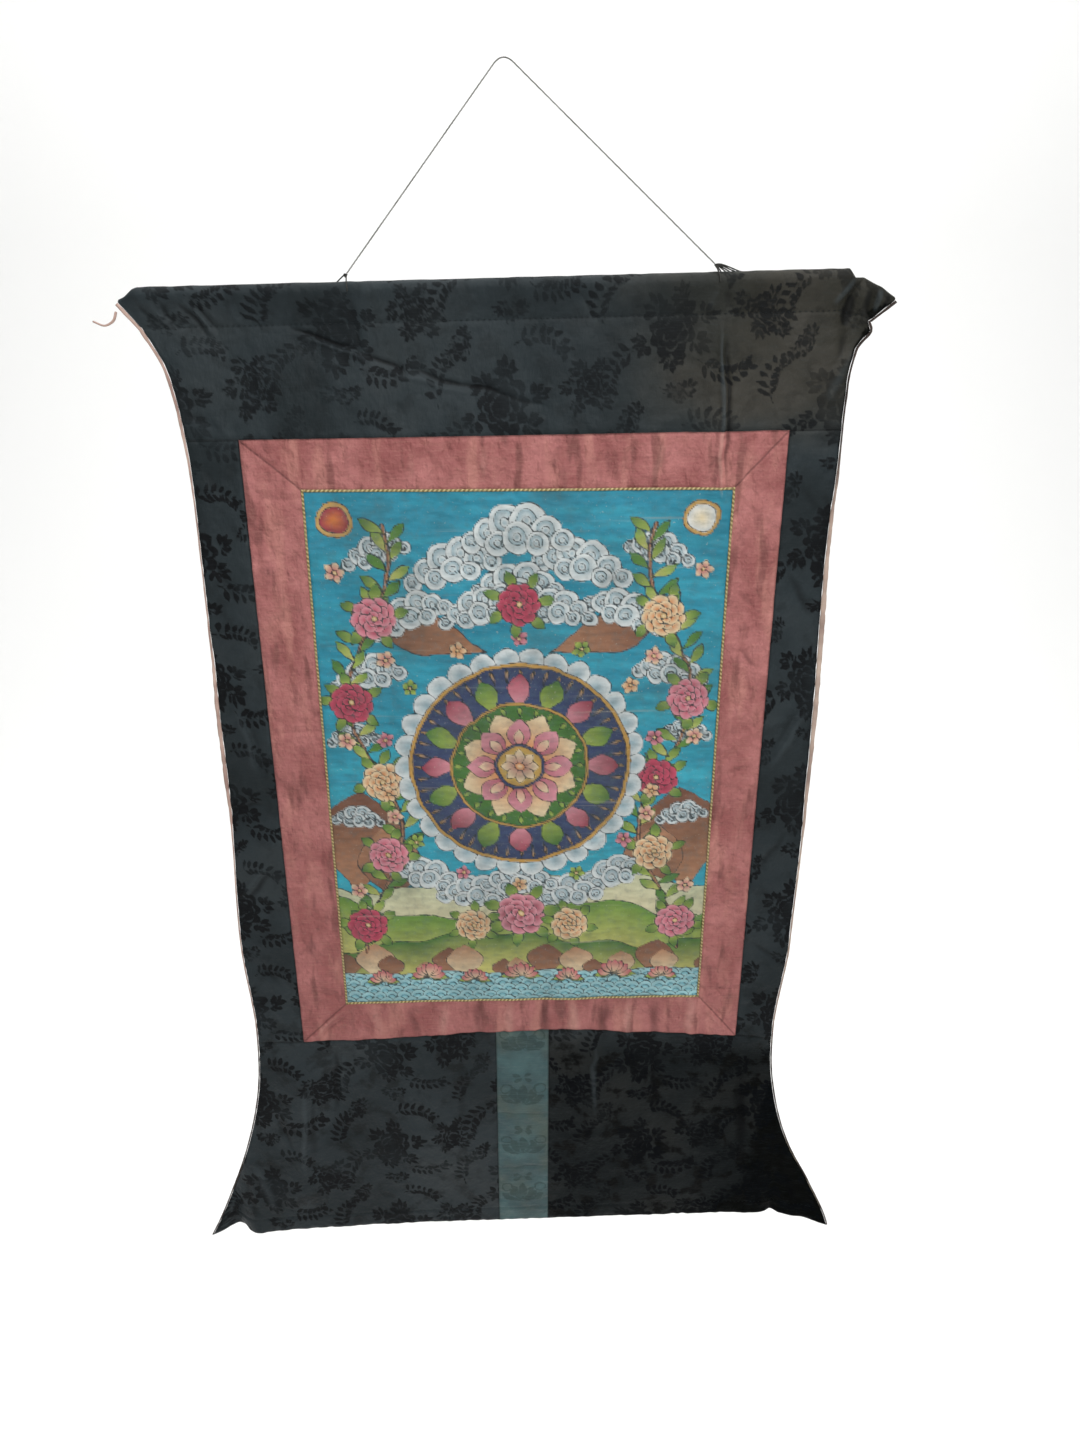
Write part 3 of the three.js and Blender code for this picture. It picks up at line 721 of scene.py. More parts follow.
def ribbon(points, half_width):
    """A line of even width through points."""
    def shape(s, t):
        distance = np.full(s.shape, 1e3)
        for (s0, t0), (s1, t1) in zip(points, points[1:]):
            distance = np.minimum(distance, line_distance(s, t, s0, t0, s1, t1))
        return distance - half_width, np.clip(1 - distance / half_width, 0, 1)

    return shape


def ground_below(heights, shade):
    """Everything below a wavy line, given by its waves."""
    def shape(s, t):
        top = heights[0] + sum(a * np.sin(s / w + p) for a, w, p in heights[1:])
        distance = 0.85 * (t - top)
        return distance, np.clip(-distance / shade, 0, 1)

    return shape


def around(centre, reach, turn):
    return centre[0] + reach * math.cos(turn), centre[1] + reach * math.sin(turn)


def turns(count, start=0.0):
    return [start + 2 * math.pi * k / count for k in range(count)]


# The silk's woven figure
TILE_WIDTH = 150
TILE_HEIGHT = 134
RIM_WIDTH = 1.3
FLOWER_RINGS = [
    # petals round, and reach as a share of the radius
    (9, 1.0),
    (8, 0.72),
    (6, 0.42),
]


def flower_mass(u, v, radius):
    """A full flower, taller than wide, with lighter lines round its inner petals."""
    reach = np.hypot(1.15 * u, 0.9 * v)
    angle = np.arctan2(v, u)
    edges = [radius * edge * (0.8 + 0.2 * np.abs(np.cos(count * angle / 2 + 9 * edge)))
             for count, edge in FLOWER_RINGS]
    mass = smoothstep(-1.2, 1.2, edges[0] - reach)
    for edge in edges[1:]:
        mass = mass * (1 - 0.65 * np.exp(-(((reach - edge) / RIM_WIDTH) ** 2)))
    return mass


def woven_in(figure, shape, u, v):
    """Lays one soft shape over a figure, with a lighter line round it."""
    distance, _ = shape(u, v)
    rim = np.exp(-((distance / RIM_WIDTH) ** 2))
    return np.maximum(figure * (1 - 0.6 * rim), smoothstep(-0.6, 1.0, -distance))


def leaf_fan(reach, turn, size):
    """Five leaves spreading from one point at a distance from the middle."""
    foot = around((0, 0), reach, turn)
    return [petal(foot, turn + lean, size * (1 - 0.25 * abs(lean)), size * 0.4, 0.5)
            for lean in (-1.2, -0.6, 0, 0.6, 1.2)]


def spray_shapes(start, turn, bend, steps, leaf):
    """A curving stem with pairs of leaves and a bud at its tip."""
    stem = [start]
    for step in range(steps):
        stem.append(around(stem[-1], leaf * 0.58, turn + bend * step))
    shapes = [ribbon(stem, 0.8)]
    for step, point in enumerate(stem[1:]):
        for lean in (-0.95, 0.95):
            heading = turn + bend * step + lean
            shapes.append(petal(point, heading, leaf * (1.15 - 0.05 * step), leaf * 0.46, 0.5))
    return shapes + [disc(stem[-1], leaf * 0.35)]


def leaves_round(radius, turn, size):
    shapes = []
    for lean in (0, 1.25, 2.1, 3.3, 4.4, 5.3):
        shapes += leaf_fan(radius * 0.98, turn + lean, size)
    return shapes


SILK_MOTIFS = [
    # place, the flower's radius if it has one, and leaves
    ((0, 0), 25, leaves_round(25, 0.3, 18)),
    ((74, 16), 17, leaves_round(17, 1.1, 14)),
    ((-40, 52), 11, leaf_fan(9, 1.2, 12) + leaf_fan(9, 3.9, 12)),
    ((44, -38), 0, spray_shapes((-24, 6), -0.5, 0.17, 7, 12)),
    ((-52, -30), 0, spray_shapes((22, 14), 3.5, 0.2, 7, 12)),
    ((34, 56), 0, spray_shapes((-26, -6), 0.5, -0.2, 7, 11)),
    ((-60, 24), 0, spray_shapes((-4, -22), 1.9, -0.22, 6, 11)),
    ((4, -58), 8, leaf_fan(7, 0.4, 12) + leaf_fan(7, 2.8, 12)),
]


def silk_figure(x, z):
    """Darkness of the woven flowers, which repeat with a half drop and lie a little skewed."""
    x = x + 6 * value_noise(x / 34, z / 34, 51) + value_noise(x / 7, z / 7, 53)
    z = z + 6 * value_noise(x / 34, z / 34, 52) + value_noise(x / 7, z / 7, 54)
    figure = np.zeros_like(x)
    for (place_x, place_z), radius, leaves in SILK_MOTIFS:
        column = np.floor((x - place_x) / TILE_WIDTH + 0.5)
        u = x - place_x - column * TILE_WIDTH
        v = z - place_z + column * TILE_HEIGHT / 2
        v = np.mod(v + TILE_HEIGHT / 2, TILE_HEIGHT) - TILE_HEIGHT / 2
        for shape in leaves:
            figure = woven_in(figure, shape, u, v)
        if radius:
            figure = np.maximum(figure, flower_mass(u, v, radius))
    return figure


def door_figure(x, z):
    """Darkness of a column of small lotus sprays."""
    u = x - (DOOR_LEFT_X + DOOR_RIGHT_X) / 2 + 2 * value_noise(x / 12, z / 12, 55)
    v = np.mod(z + 1021 + 2 * value_noise(x / 12, z / 12, 56), 78) - 39
    shapes = [petal((0, -18), turn, 30, 13) for turn in (0.5, 2.64, 1.0, 2.14, 1.57)]
    shapes += [petal((0, 22), turn, 13, 7) for turn in (0.4, 2.74, -0.5, 3.64)]
    shapes += [ring_line((side * 20, 6), 6, 1.2) for side in (-1, 1)]
    figure = np.zeros_like(x)
    for shape in shapes:
        figure = woven_in(figure, shape, u, v)
    return figure


# The painted picture
SKY_TOP, SKY_LOW = srgb(0x0C86A0), srgb(0x2AA2B6)
CLOUD, CLOUD_SHADE = srgb(0xD9DDDB), srgb(0x8DA9B2)
CRIMSON, ROSE, PINK = srgb(0x8E2440), srgb(0xBF4560), srgb(0xDD97A2)
NAVY, NAVY_LIGHT = srgb(0x22345A), srgb(0x3A5080)
GREEN, LEAF, LIME = srgb(0x35692B), srgb(0x5F8C34), srgb(0xA5B653)
BROWN, TAN, ORANGE = srgb(0x6B4234), srgb(0xA87859), srgb(0xCE7636)
CREAM, STRAW, OCHRE = srgb(0xE4D2AB), srgb(0xC2BD6C), srgb(0xB88D42)
WATER, WATER_DEEP = srgb(0xA8D0D3), srgb(0x5FA9B8)
MEADOW, AGED = srgb(0xBFC3A0), srgb(0x857F70)
PICTURE_HEIGHT = 579
HEART = (0, 296)


class Painting:
    """Colours and ink lines laid on a grid of picture points, the later over the earlier."""

    def __init__(self, s, t):
        self.s, self.t = s, t
        self.wavy_s = s + 1.5 * value_noise(s / 16, t / 16, 61) + 0.5 * value_noise(s / 5, t / 5, 62)
        self.wavy_t = t + 1.5 * value_noise(s / 16, t / 16, 63) + 0.5 * value_noise(s / 5, t / 5, 64)
        self.ink = np.full(s.shape, 9.0)
        streaks = 0.35 * value_noise(s / 45, t / 7, 65) + 0.25 * value_noise(s / 60, t / 60, 66)
        fade = np.clip(t / PICTURE_HEIGHT + streaks, 0, 1)[..., None]
        self.colour = lerp(np.array(SKY_LOW), np.array(SKY_TOP), fade)

    def lay(self, shape, edge, heart, centre=None, reach=None):
        rows, columns = slice(None), slice(None)
        if centre is not None:
            low, high = np.searchsorted(self.s[0], (centre[0] - reach, centre[0] + reach))
            top, bottom = np.searchsorted(-self.t[:, 0], (-centre[1] - reach, reach - centre[1]))
            rows, columns = slice(top, bottom), slice(low, high)
        distance, share = shape(self.wavy_s[rows, columns], self.wavy_t[rows, columns])
        paint = lerp(np.array(edge), np.array(heart), share[..., None])
        under, lines = self.colour[rows, columns], self.ink[rows, columns]
        self.colour[rows, columns] = np.where(distance[..., None] < 0, paint, under)
        self.ink[rows, columns] = np.where(distance < 0, -distance, np.minimum(lines, distance))

    def disc(self, centre, radius, edge, heart):
        self.lay(disc(centre, radius), edge, heart, centre, radius + 4)

    def petal(self, foot, turn, length, width, edge, heart, belly=0.6):
        self.lay(petal(foot, turn, length, width, belly), edge, heart, foot, length + 4)


def paint_cloud(painting, centre, size, lean):
    """A bank of round puffs, each with a curl in it."""
    puffs = [(-2.3, -0.3, 0.55), (-1.5, 0.2, 0.75), (-0.6, 0.65, 0.9), (0.5, 0.7, 0.95), (1.4, 0.25, 0.75),
             (2.2, -0.2, 0.55), (-1.0, -0.35, 0.65), (0.0, -0.1, 0.8), (1.0, -0.4, 0.6)]
    for right, up, radius in puffs:
        place = (centre[0] + right * size, centre[1] + (up + lean * right) * size)
        painting.disc(place, radius * size, CLOUD, CLOUD_SHADE)
        curl = around(place, radius * size * 0.15, 2.2)
        painting.disc(curl, radius * size * 0.55, CLOUD_SHADE, CLOUD)
        painting.disc(around(curl, radius * size * 0.1, 5), radius * size * 0.25, CLOUD, CLOUD_SHADE)


def paint_blossom(painting, centre, radius, edge, heart, leaves=5):
    """A full round flower on a few leaves."""
    for turn in turns(leaves, centre[0]):
        painting.petal(around(centre, radius * 0.6, turn), turn + 0.2, radius, radius * 0.5, GREEN, LIME)
    for count, reach, size in ((9, 0.62, 0.38), (7, 0.38, 0.3), (5, 0.18, 0.2)):
        for turn in turns(count, reach * 4 + centre[1]):
            painting.disc(around(centre, radius * reach, turn), radius * size, edge, heart)
    painting.disc(centre, radius * 0.13, OCHRE, CREAM)


def paint_small_flower(painting, centre, radius, edge, heart):
    for turn in turns(5, centre[0]):
        painting.petal(centre, turn, radius, radius * 0.75, edge, heart)
    painting.disc(centre, radius * 0.22, OCHRE, CREAM)


def paint_vine(painting, side):
    """A climbing stem with leaves and flowers up one side."""
    heights = np.arange(70, 548, 9)
    stem = [(side * (148 + 24 * math.sin(t / 47)), t) for t in heights]
    painting.lay(ribbon(stem, 1.8), BROWN, TAN)
    for k, foot in enumerate(stem[1:-1]):
        turn = math.pi / 2 + (1 if k % 2 else -1) * (0.8 + 0.25 * math.sin(k))
        colours = ((GREEN, LIME), (LEAF, STRAW), (GREEN, LEAF))[k % 3]
        painting.petal(foot, turn, 27, 10, *colours)
    for k, t in enumerate(range(104, 520, 88)):
        colours = ((ROSE, CRIMSON), (PINK, ROSE), (CREAM, ORANGE))[(k + (side > 0)) % 3]
        paint_blossom(painting, (side * (150 + 18 * math.cos(k * 2.1)), t), 22, *colours)
    for k, t in enumerate(range(150, 540, 88)):
        paint_small_flower(painting, (side * (176 - 44 * (k % 2)), t), 10, CREAM, ROSE)


def paint_rosette(painting):
    """The round lotus at the picture's centre, from its rim of cloud inwards."""
    for turn in turns(30):
        painting.disc(around(HEART, 116, turn), 13, CLOUD, CLOUD_SHADE)
    painting.disc(HEART, 113, OCHRE, CREAM)
    painting.disc(HEART, 109, NAVY, NAVY_LIGHT)
    for turn in turns(48):
        painting.petal(around(HEART, 92, turn), turn, 15, 3.4, OCHRE, NAVY_LIGHT)
    for k, turn in enumerate(turns(16)):
        colours = ((CRIMSON, PINK), (GREEN, LIME))[k % 2]
        painting.petal(around(HEART, 62, turn), turn, 40, 23, *colours)
    painting.disc(HEART, 71, OCHRE, CREAM)
    painting.disc(HEART, 68, GREEN, LEAF)
    for turn in turns(24):
        painting.petal(around(HEART, 56, turn), turn, 10, 5, LIME, GREEN)
    for turn in turns(8, math.pi / 8):
        painting.petal(around(HEART, 16, turn), turn, 46, 30, CREAM, ORANGE)
    for turn in turns(8):
        painting.petal(around(HEART, 14, turn), turn, 40, 25, PINK, CRIMSON)
        painting.petal(around(HEART, 20, turn), turn, 22, 10, CREAM, ROSE)
    painting.disc(HEART, 25, NAVY, NAVY_LIGHT)
    painting.disc(HEART, 22, OCHRE, STRAW)
    for turn in turns(8):
        painting.petal(HEART, turn, 19, 11, CREAM, CRIMSON)
    painting.disc(HEART, 5, ORANGE, CREAM)


def paint_land(painting):
    """Mountains at the sides, then meadows, rocks and water along the foot."""
    for side in (-1, 1):
        painting.petal((side * 178, 140), math.pi / 2 + side * 0.1, 130, 92, BROWN, TAN)
        painting.petal((side * 132, 130), math.pi / 2 - side * 0.15, 96, 66, TAN, BROWN)
        painting.petal((side * 30, 420), math.pi / 2 - side * 1.25, 118, 44, BROWN, TAN)
    painting.lay(ground_below((158, (10, 60, 0.6), (5, 19, 1.4)), 70), MEADOW, CREAM)
    painting.lay(ground_below((124, (14, 42, 0.4), (6, 17, 1.0)), 60), LEAF, STRAW)
    painting.lay(ground_below((84, (12, 55, 2.2), (4, 13, 0.3)), 40), GREEN, STRAW)
    for k in range(15):
        foot = (-196 + 28 * k + 7 * math.sin(2.3 * k), 30)
        size = 38 + 13 * math.sin(1.7 * k)
        lean = 0.25 * math.sin(3.1 * k)
        colours = ((BROWN, TAN), (TAN, CREAM))[k % 2]
        painting.petal(foot, 1.57 + lean, size, size * 0.85, *colours)
    painting.lay(ground_below((40, (2, 19, 0.0)), 30), WATER, WATER_DEEP)
    for row in range(5):
        for k in range(31):
            place = (-210 + 14 * k + 7 * (row % 2), 32 - 8 * row)
            painting.disc(place, 8, WATER, WATER_DEEP)
            painting.disc((place[0], place[1] - 1.5), 4.6, WATER_DEEP, WATER)


def paint_lotus(painting, centre, size):
    """A lotus seen from the side on two round leaves."""
    for side in (-1, 1):
        painting.petal((centre[0] + side * size * 1.5, centre[1] - size * 0.5), math.pi / 2 + side * 1.3,
                       size * 1.5, size * 0.8, GREEN, LIME)
    for turn in (0.25, 2.89, 0.75, 2.39, 1.2, 1.94, 1.57):
        painting.petal((centre[0], centre[1] - size * 0.4), turn, size * 1.25, size * 0.6, ROSE, CREAM)


CLOUD_BANKS = [
    # s, t, size and lean of a bank at the right, which has a twin at the left, or of one in the middle
    (150, 396, 14, -0.2),
    (134, 520, 12, -0.3),
    (62, 506, 17, -0.25),
    (0, 536, 19, 0),
    (104, 458, 15, -0.4),
    (0, 486, 16, 0),
    (38, 462, 14, -0.2),
    (98, 164, 15, 0.3),
    (46, 142, 16, 0.1),
    (0, 158, 15, 0),
    (168, 330, 10, -0.1),
    (170, 236, 10, 0.1),
]
SUN_AND_MOON = {-1: (CRIMSON, ORANGE), 1: (CLOUD, CREAM)}


def paint_sky(painting):
    """Banks of cloud, and the vines, sun and moon at the sides."""
    for place_s, place_t, size, lean in CLOUD_BANKS:
        for side in (-1, 1) if place_s else (1,):
            paint_cloud(painting, (side * place_s, place_t), size, side * lean)
    for side, colours in SUN_AND_MOON.items():
        paint_vine(painting, side)
        painting.disc((side * 172, 552), 17, OCHRE, CREAM)
        painting.disc((side * 172, 552), 13, *colours)


def paint_picture(s, t):
    """Colours and distances to ink lines of the whole picture."""
    painting = Painting(s, t)
    paint_land(painting)
    paint_sky(painting)
    paint_rosette(painting)
    for k, turn in enumerate(turns(14, 0.22)):
        colours = ((PINK, CRIMSON), (CREAM, ORANGE), (LIME, GREEN))[k % 3]
        paint_small_flower(painting, around(HEART, 140, turn), 9, *colours)
    paint_blossom(painting, (0, 118), 27, PINK, CRIMSON, 7)
    paint_blossom(painting, (-52, 104), 20, CREAM, ORANGE, 6)
    paint_blossom(painting, (52, 104), 20, CREAM, ORANGE, 6)
    paint_blossom(painting, (0, 470), 22, ROSE, CRIMSON, 7)
    for k in range(7):
        paint_lotus(painting, (-156 + 52 * k, 34 + 6 * (k % 2)), 13 + 3 * (k % 2))
    brush = 1 + 0.14 * value_noise(s / 8, t / 3, 21) + 0.12 * value_noise(s / 31, t / 31, 22)
    aged = lerp(painting.colour, np.array(AGED), 0.1)
    return np.clip(0.7 * aged * brush[..., None], 0, 1), painting.ink * MM


# Materials
WAVE_SCALE = 314
SOIL_FADE = 0.04
SOIL_SHARE = 0.92


class Shader:
    """Adds and links the nodes of one material."""

    def __init__(self, name):
        self.material = bpy.data.materials.new(name)
        self.material.use_nodes = True
        self.tree = self.material.node_tree
        self.surface = self.tree.nodes["Principled BSDF"]

    def feed(self, socket, value):
        if isinstance(value, bpy.types.NodeSocket):
            self.tree.links.new(value, socket)
        elif socket.type == "RGBA" and len(value) == 3:
            socket.default_value = (*value, 1)
        else:
            socket.default_value = value

    def add(self, kind, inputs, output=0, **settings):
        node = self.tree.nodes.new(kind)
        for key, value in settings.items():
            setattr(node, key, value)
        for socket, value in inputs.items():
            self.feed(node.inputs[socket], value)
        return node.outputs[output]

    def attribute(self, name, output="Fac"):
        return self.add("ShaderNodeAttribute", {}, output, attribute_name=name)

    def maths(self, operation, first, second=0.0):
        return self.add("ShaderNodeMath", {0: first, 1: second}, operation=operation)

    def axis(self, vector, letter):
        return self.add("ShaderNodeSeparateXYZ", {"Vector": vector}, letter)

    def stretch(self, vector, scale):
        return self.add("ShaderNodeVectorMath", {0: vector, 1: scale}, operation="MULTIPLY")

    def noise(self, vector, scale, detail=3.0, roughness=0.55, distortion=0.0):
        inputs = {"Vector": vector, "Scale": scale, "Detail": detail,
                  "Roughness": roughness, "Distortion": distortion}
        return self.add("ShaderNodeTexNoise", inputs)

    def threads(self, vector, millimetres, direction):
        """Bands of an even width, wavering a little."""
        inputs = {"Vector": vector, "Scale": WAVE_SCALE / millimetres, "Distortion": 1.2,
                  "Detail": 1.0, "Detail Scale": 0.3}
        return self.add("ShaderNodeTexWave", inputs, "Fac", bands_direction=direction)

    def ramp(self, value, low, high, to_low=0.0, to_high=1.0):
        inputs = {"Value": value, "From Min": low, "From Max": high,
                  "To Min": to_low, "To Max": to_high}
        return self.add("ShaderNodeMapRange", inputs, interpolation_type="SMOOTHSTEP")

    def mix(self, share, first, second, blend="MIX"):
        inputs = {0: share, 6: first, 7: second}
        return self.add("ShaderNodeMix", inputs, 2, data_type="RGBA", blend_type=blend)

    def bump(self, height, distance, normal=None):
        inputs = {"Height": height, "Distance": distance, "Strength": 1.0}
        if normal is not None:
            inputs["Normal"] = normal
        return self.add("ShaderNodeBump", inputs)

    def weave(self, vector, millimetres):
        """Height of crossing threads."""
        across = self.threads(vector, millimetres, "X")
        return self.maths("MAXIMUM", across, self.threads(vector, millimetres, "Z"))

    def finish(self, colour, roughness, normal, **constants):
        self.feed(self.surface.inputs["Base Color"], colour)
        self.feed(self.surface.inputs["Roughness"], roughness)
        self.feed(self.surface.inputs["Normal"], normal)
        for key, value in constants.items():
            self.feed(self.surface.inputs[key.replace("_", " ")], value)
        return self.material


def seam_shade_and_soil(shader, colour, soil):
    """Painted shade and soil: darkens a cloth in the dip beside its seams."""
    dip = shader.ramp(shader.attribute("edge"), 0.0002, 0.0022, 0.45, 0)
    return shader.mix(dip, colour, soil)


def crease_shade_and_wear(shader, colour, soil, rubbed):
    """Painted shade and soil in the valleys of the creases, and painted highlight and rubbed cloth on their
    ridges.
    """
    crease_relief = shader.axis(shader.attribute("tone", "Vector"), "Z")
    valley_shaded = shader.mix(shader.ramp(crease_relief, 0.15, 0.95, 0, 0.75), colour, soil)
    return shader.mix(shader.ramp(shader.maths("MULTIPLY", crease_relief, -1), 0.1, 0.8, 0, 0.4), valley_shaded, rubbed)


def woven_figure(shader, cut, scale, unevenness):
    """The figure's darkness with a ragged edge."""
    ragged = shader.ramp(shader.noise(cut, scale, 3), 0.3, 0.7, -unevenness, unevenness)
    return shader.ramp(shader.maths("ADD", shader.attribute("figure"), ragged), 0.15, 0.85)


def slate_ground(shader, cut, tone):
    """Slate dye, browner in patches, towards the top right and at the lower right, and blacker in blotches,
    towards the lower right and the right strip, and in painted shade in the lower right corner.
    """
    patches = shader.noise(cut, 7, 4)
    cloudy = shader.ramp(patches, 0.36, 0.64)
    cool = shader.mix(cloudy, srgb(0x1B2123), srgb(0x272E31))
    warm = shader.mix(cloudy, srgb(0x26251F), srgb(0x34322D))
    brown = shader.maths("ADD", shader.axis(tone, "Y"), shader.ramp(patches, 0.3, 0.7, -0.25, 0.25))
    dyed = shader.mix(shader.ramp(brown, 0, 1), cool, warm)
    spread = shader.ramp(shader.axis(cut, "Z"), -1.02, -0.9, 0.55, 0.25)
    blotched = shader.maths("MULTIPLY", shader.ramp(shader.noise(cut, 38, 4, 0.6), 0.5, 0.64), spread)
    # Blacker by the tone's first share and by blotches; that share holds painted shade in the lower right
    # corner
    blackened = shader.maths("ADD", shader.axis(tone, "X"), blotched)
    return shader.mix(blackened, dyed, srgb(0x060706))


def dark_silk():
    """Slate silk with woven flowers, creases and lint."""
    shader = Shader("dark_silk_damask")
    cut = shader.attribute("cut", "Vector")
    tone = shader.attribute("tone", "Vector")
    figure = woven_figure(shader, cut, 130, 0.28)
    ground = slate_ground(shader, cut, tone)
    patchy = shader.ramp(shader.noise(cut, 15, 2), 0.32, 0.62, 0.6, 1.3)
    kept = shader.maths("MULTIPLY", patchy, shader.ramp(shader.axis(cut, "Z"), -0.36, -0.3, 1.0, 0.65))
    woven = shader.mix(shader.maths("MULTIPLY", figure, kept), ground, srgb(0x07090B))
    slubs = shader.noise(shader.stretch(cut, (70, 1, 700)), 1, 2)
    streaked = shader.mix(shader.ramp(slubs, 0.5, 0.75, 0, 0.2), woven, srgb(0x2C3234))
    # Painted shade and soil in crease valleys, painted highlight and rubbing on their ridges
    crease_shaded = crease_shade_and_wear(shader, streaked, srgb(0x060708), srgb(0x3A4144))
    lint = shader.ramp(shader.noise(cut, 420, 2), 0.69, 0.79, 0, 0.25)
    # Painted shade and soil in the dip beside the seams
    colour = seam_shade_and_soil(shader, shader.mix(lint, crease_shaded, srgb(0x3E4243)), srgb(0x050606))
    crumpled = shader.bump(shader.noise(cut, 34, 3, 0.5), 0.0034)
    small = shader.bump(shader.noise(shader.stretch(cut, (1.6, 1, 1)), 95, 3, 0.55), 0.0011, crumpled)
    raised = shader.bump(figure, 0.0002, small)
    normal = shader.bump(shader.weave(cut, 0.8), 0.00008, raised)
    gloss = shader.ramp(shader.axis(tone, "X"), 0, 0.8, 0.11, 0.01)
    return shader.finish(colour, shader.ramp(figure, 0, 1, 0.5, 0.7), normal, Specular_IOR_Level=gloss)


def salmon_silk():
    """Salmon silk with blotches, stains, slubs and small creases, and painted highlights and painted shade
    of soft upright ripples and small crinkles.
    """
    shader = Shader("salmon_silk_plain")
    cut = shader.attribute("cut", "Vector")
    cloudy = shader.ramp(shader.noise(shader.stretch(cut, (1.3, 1, 0.9)), 17, 4, 0.6), 0.36, 0.64)
    base = shader.mix(cloudy, srgb(0x824B49), srgb(0x9C6461))
    # Painted highlight and painted shade along soft upright ripples
    ripple_highlight_mask = shader.ramp(shader.noise(shader.stretch(cut, (48, 1, 10)), 1, 3, 0.5), 0.5, 0.68, 0, 0.55)
    streaked = shader.mix(ripple_highlight_mask, base, srgb(0xAC776C))
    shadowed = shader.ramp(shader.noise(shader.stretch(cut, (58, 1, 13)), 1.1, 3, 0.5), 0.54, 0.68, 0, 0.75)
    ripple_shaded = shader.mix(shadowed, streaked, srgb(0x633A37))
    # Painted shade of small crinkles
    crinkle_shade_mask = shader.ramp(shader.noise(cut, 95, 4, 0.65), 0.42, 0.66, 0, 0.35)
    crinkle_shaded = shader.mix(crinkle_shade_mask, ripple_shaded, srgb(0x85524D))
    threads = shader.ramp(shader.noise(shader.stretch(cut, (60, 1, 520)), 1, 3, 0.6), 0.45, 0.75, 0, 0.2)
    slubbed = shader.mix(threads, crinkle_shaded, srgb(0xAD7F73))
    stains = shader.ramp(shader.noise(cut, 30, 4, 0.65), 0.58, 0.74, 0, 0.45)
    # Painted shade and soil in crease valleys, painted highlight and rubbing on their ridges
    crease_shaded = crease_shade_and_wear(shader, shader.mix(stains, slubbed, srgb(0x5C3837)), srgb(0x4A2827), srgb(0xB58A7E))
    # Painted shade and soil in the dip beside the seams
    colour = seam_shade_and_soil(shader, crease_shaded, srgb(0x3E2322))
    crumpled = shader.bump(shader.noise(shader.stretch(cut, (1.5, 1, 0.9)), 44, 3, 0.5), 0.0075)
    small = shader.bump(shader.noise(cut, 120, 3, 0.6), 0.0024, crumpled)
    normal = shader.bump(shader.weave(cut, 0.7), 0.00008, small)
    return shader.finish(colour, shader.ramp(cloudy, 0, 1, 0.6, 0.8), normal, Specular_IOR_Level=0.2)


def door_silk():
    """Grey-green silk with darker woven sprays and olive stains."""
    shader = Shader("door_silk_figured")
    cut = shader.attribute("cut", "Vector")
    figure = woven_figure(shader, cut, 150, 0.3)
    cloudy = shader.ramp(shader.noise(cut, 24, 4), 0.3, 0.7)
    base = shader.mix(cloudy, srgb(0x283C3F), srgb(0x3A5455))
    olive = shader.ramp(shader.noise(cut, 16, 3), 0.45, 0.68, 0, 0.7)
    stained = shader.mix(olive, base, srgb(0x40473C))
    woven = shader.mix(shader.maths("MULTIPLY", figure, 0.6), stained, srgb(0x1D2D2B))
    slubs = shader.ramp(shader.noise(shader.stretch(cut, (45, 1, 600)), 1, 3), 0.45, 0.75, 0, 0.3)
    # Painted shade and soil in crease valleys, painted highlight and rubbing on their ridges
    crease_shaded = crease_shade_and_wear(shader, shader.mix(slubs, woven, srgb(0x4C605C)), srgb(0x182423), srgb(0x5C716C))
    # Painted shade and soil in the dip beside the seams
    colour = seam_shade_and_soil(shader, crease_shaded, srgb(0x182322))
    crumpled = shader.bump(shader.noise(cut, 50, 3, 0.5), 0.0030)
    raised = shader.bump(figure, 0.0002, crumpled)
    normal = shader.bump(shader.weave(cut, 0.7), 0.00008, raised)
    return shader.finish(colour, shader.ramp(figure, 0, 1, 0.5, 0.65), normal,
                         Specular_IOR_Level=0.25, Sheen_Weight=0.08, Sheen_Roughness=0.4)


def painted_cloth():
    """Matt paint and dark ink lines on fine cotton, rubbed along the creases of rolling."""
    shader = Shader("painted_cotton")
    cut = shader.attribute("cut", "Vector")
    paint = shader.attribute("paint", "Vector")
    line = shader.ramp(shader.attribute("ink"), 0.0003, 0.0009, 1, 0)
    wavering = shader.maths("MULTIPLY", line, shader.ramp(shader.noise(cut, 150, 3), 0.3, 0.6, 0.35, 0.95))
    inked = shader.mix(wavering, paint, srgb(0x22272A))
    dull = shader.ramp(shader.noise(cut, 110, 4, 0.65), 0.45, 0.7, 0, 0.25)
    brushed = shader.mix(dull, inked, srgb(0x4C5F60))
    rolled = shader.ramp(shader.noise(shader.stretch(cut, (5, 1, 140)), 1, 3), 0.6, 0.78, 0, 0.35)
    rubbed = shader.mix(rolled, brushed, srgb(0x9E998B))
    specks = shader.ramp(shader.noise(cut, 300, 3), 0.62, 0.76, 0, 0.4)
    speckled = shader.mix(specks, rubbed, srgb(0xA8A294))
    soil = shader.ramp(shader.noise(cut, 14, 4), 0.45, 0.8, 0, 0.35)
    # Painted shade and soil in crease valleys, painted highlight and rubbing on their ridges
    crease_shaded = crease_shade_and_wear(shader, shader.mix(soil, speckled, srgb(0x454840)), srgb(0x2E3634), srgb(0xA39E90))
    # Painted shade and soil in the dip beside the seams
    colour = seam_shade_and_soil(shader, crease_shaded, srgb(0x2A3028))
    grain = shader.bump(shader.weave(cut, 0.9), 0.0001)
    dabbed = shader.bump(shader.noise(cut, 260, 3), 0.00035, grain)
    normal = shader.bump(shader.noise(shader.stretch(cut, (0.6, 1, 1.5)), 44, 3, 0.5), 0.003, dabbed)
    return shader.finish(colour, shader.ramp(soil, 0, 0.35, 0.62, 0.85), normal, Specular_IOR_Level=0.2)


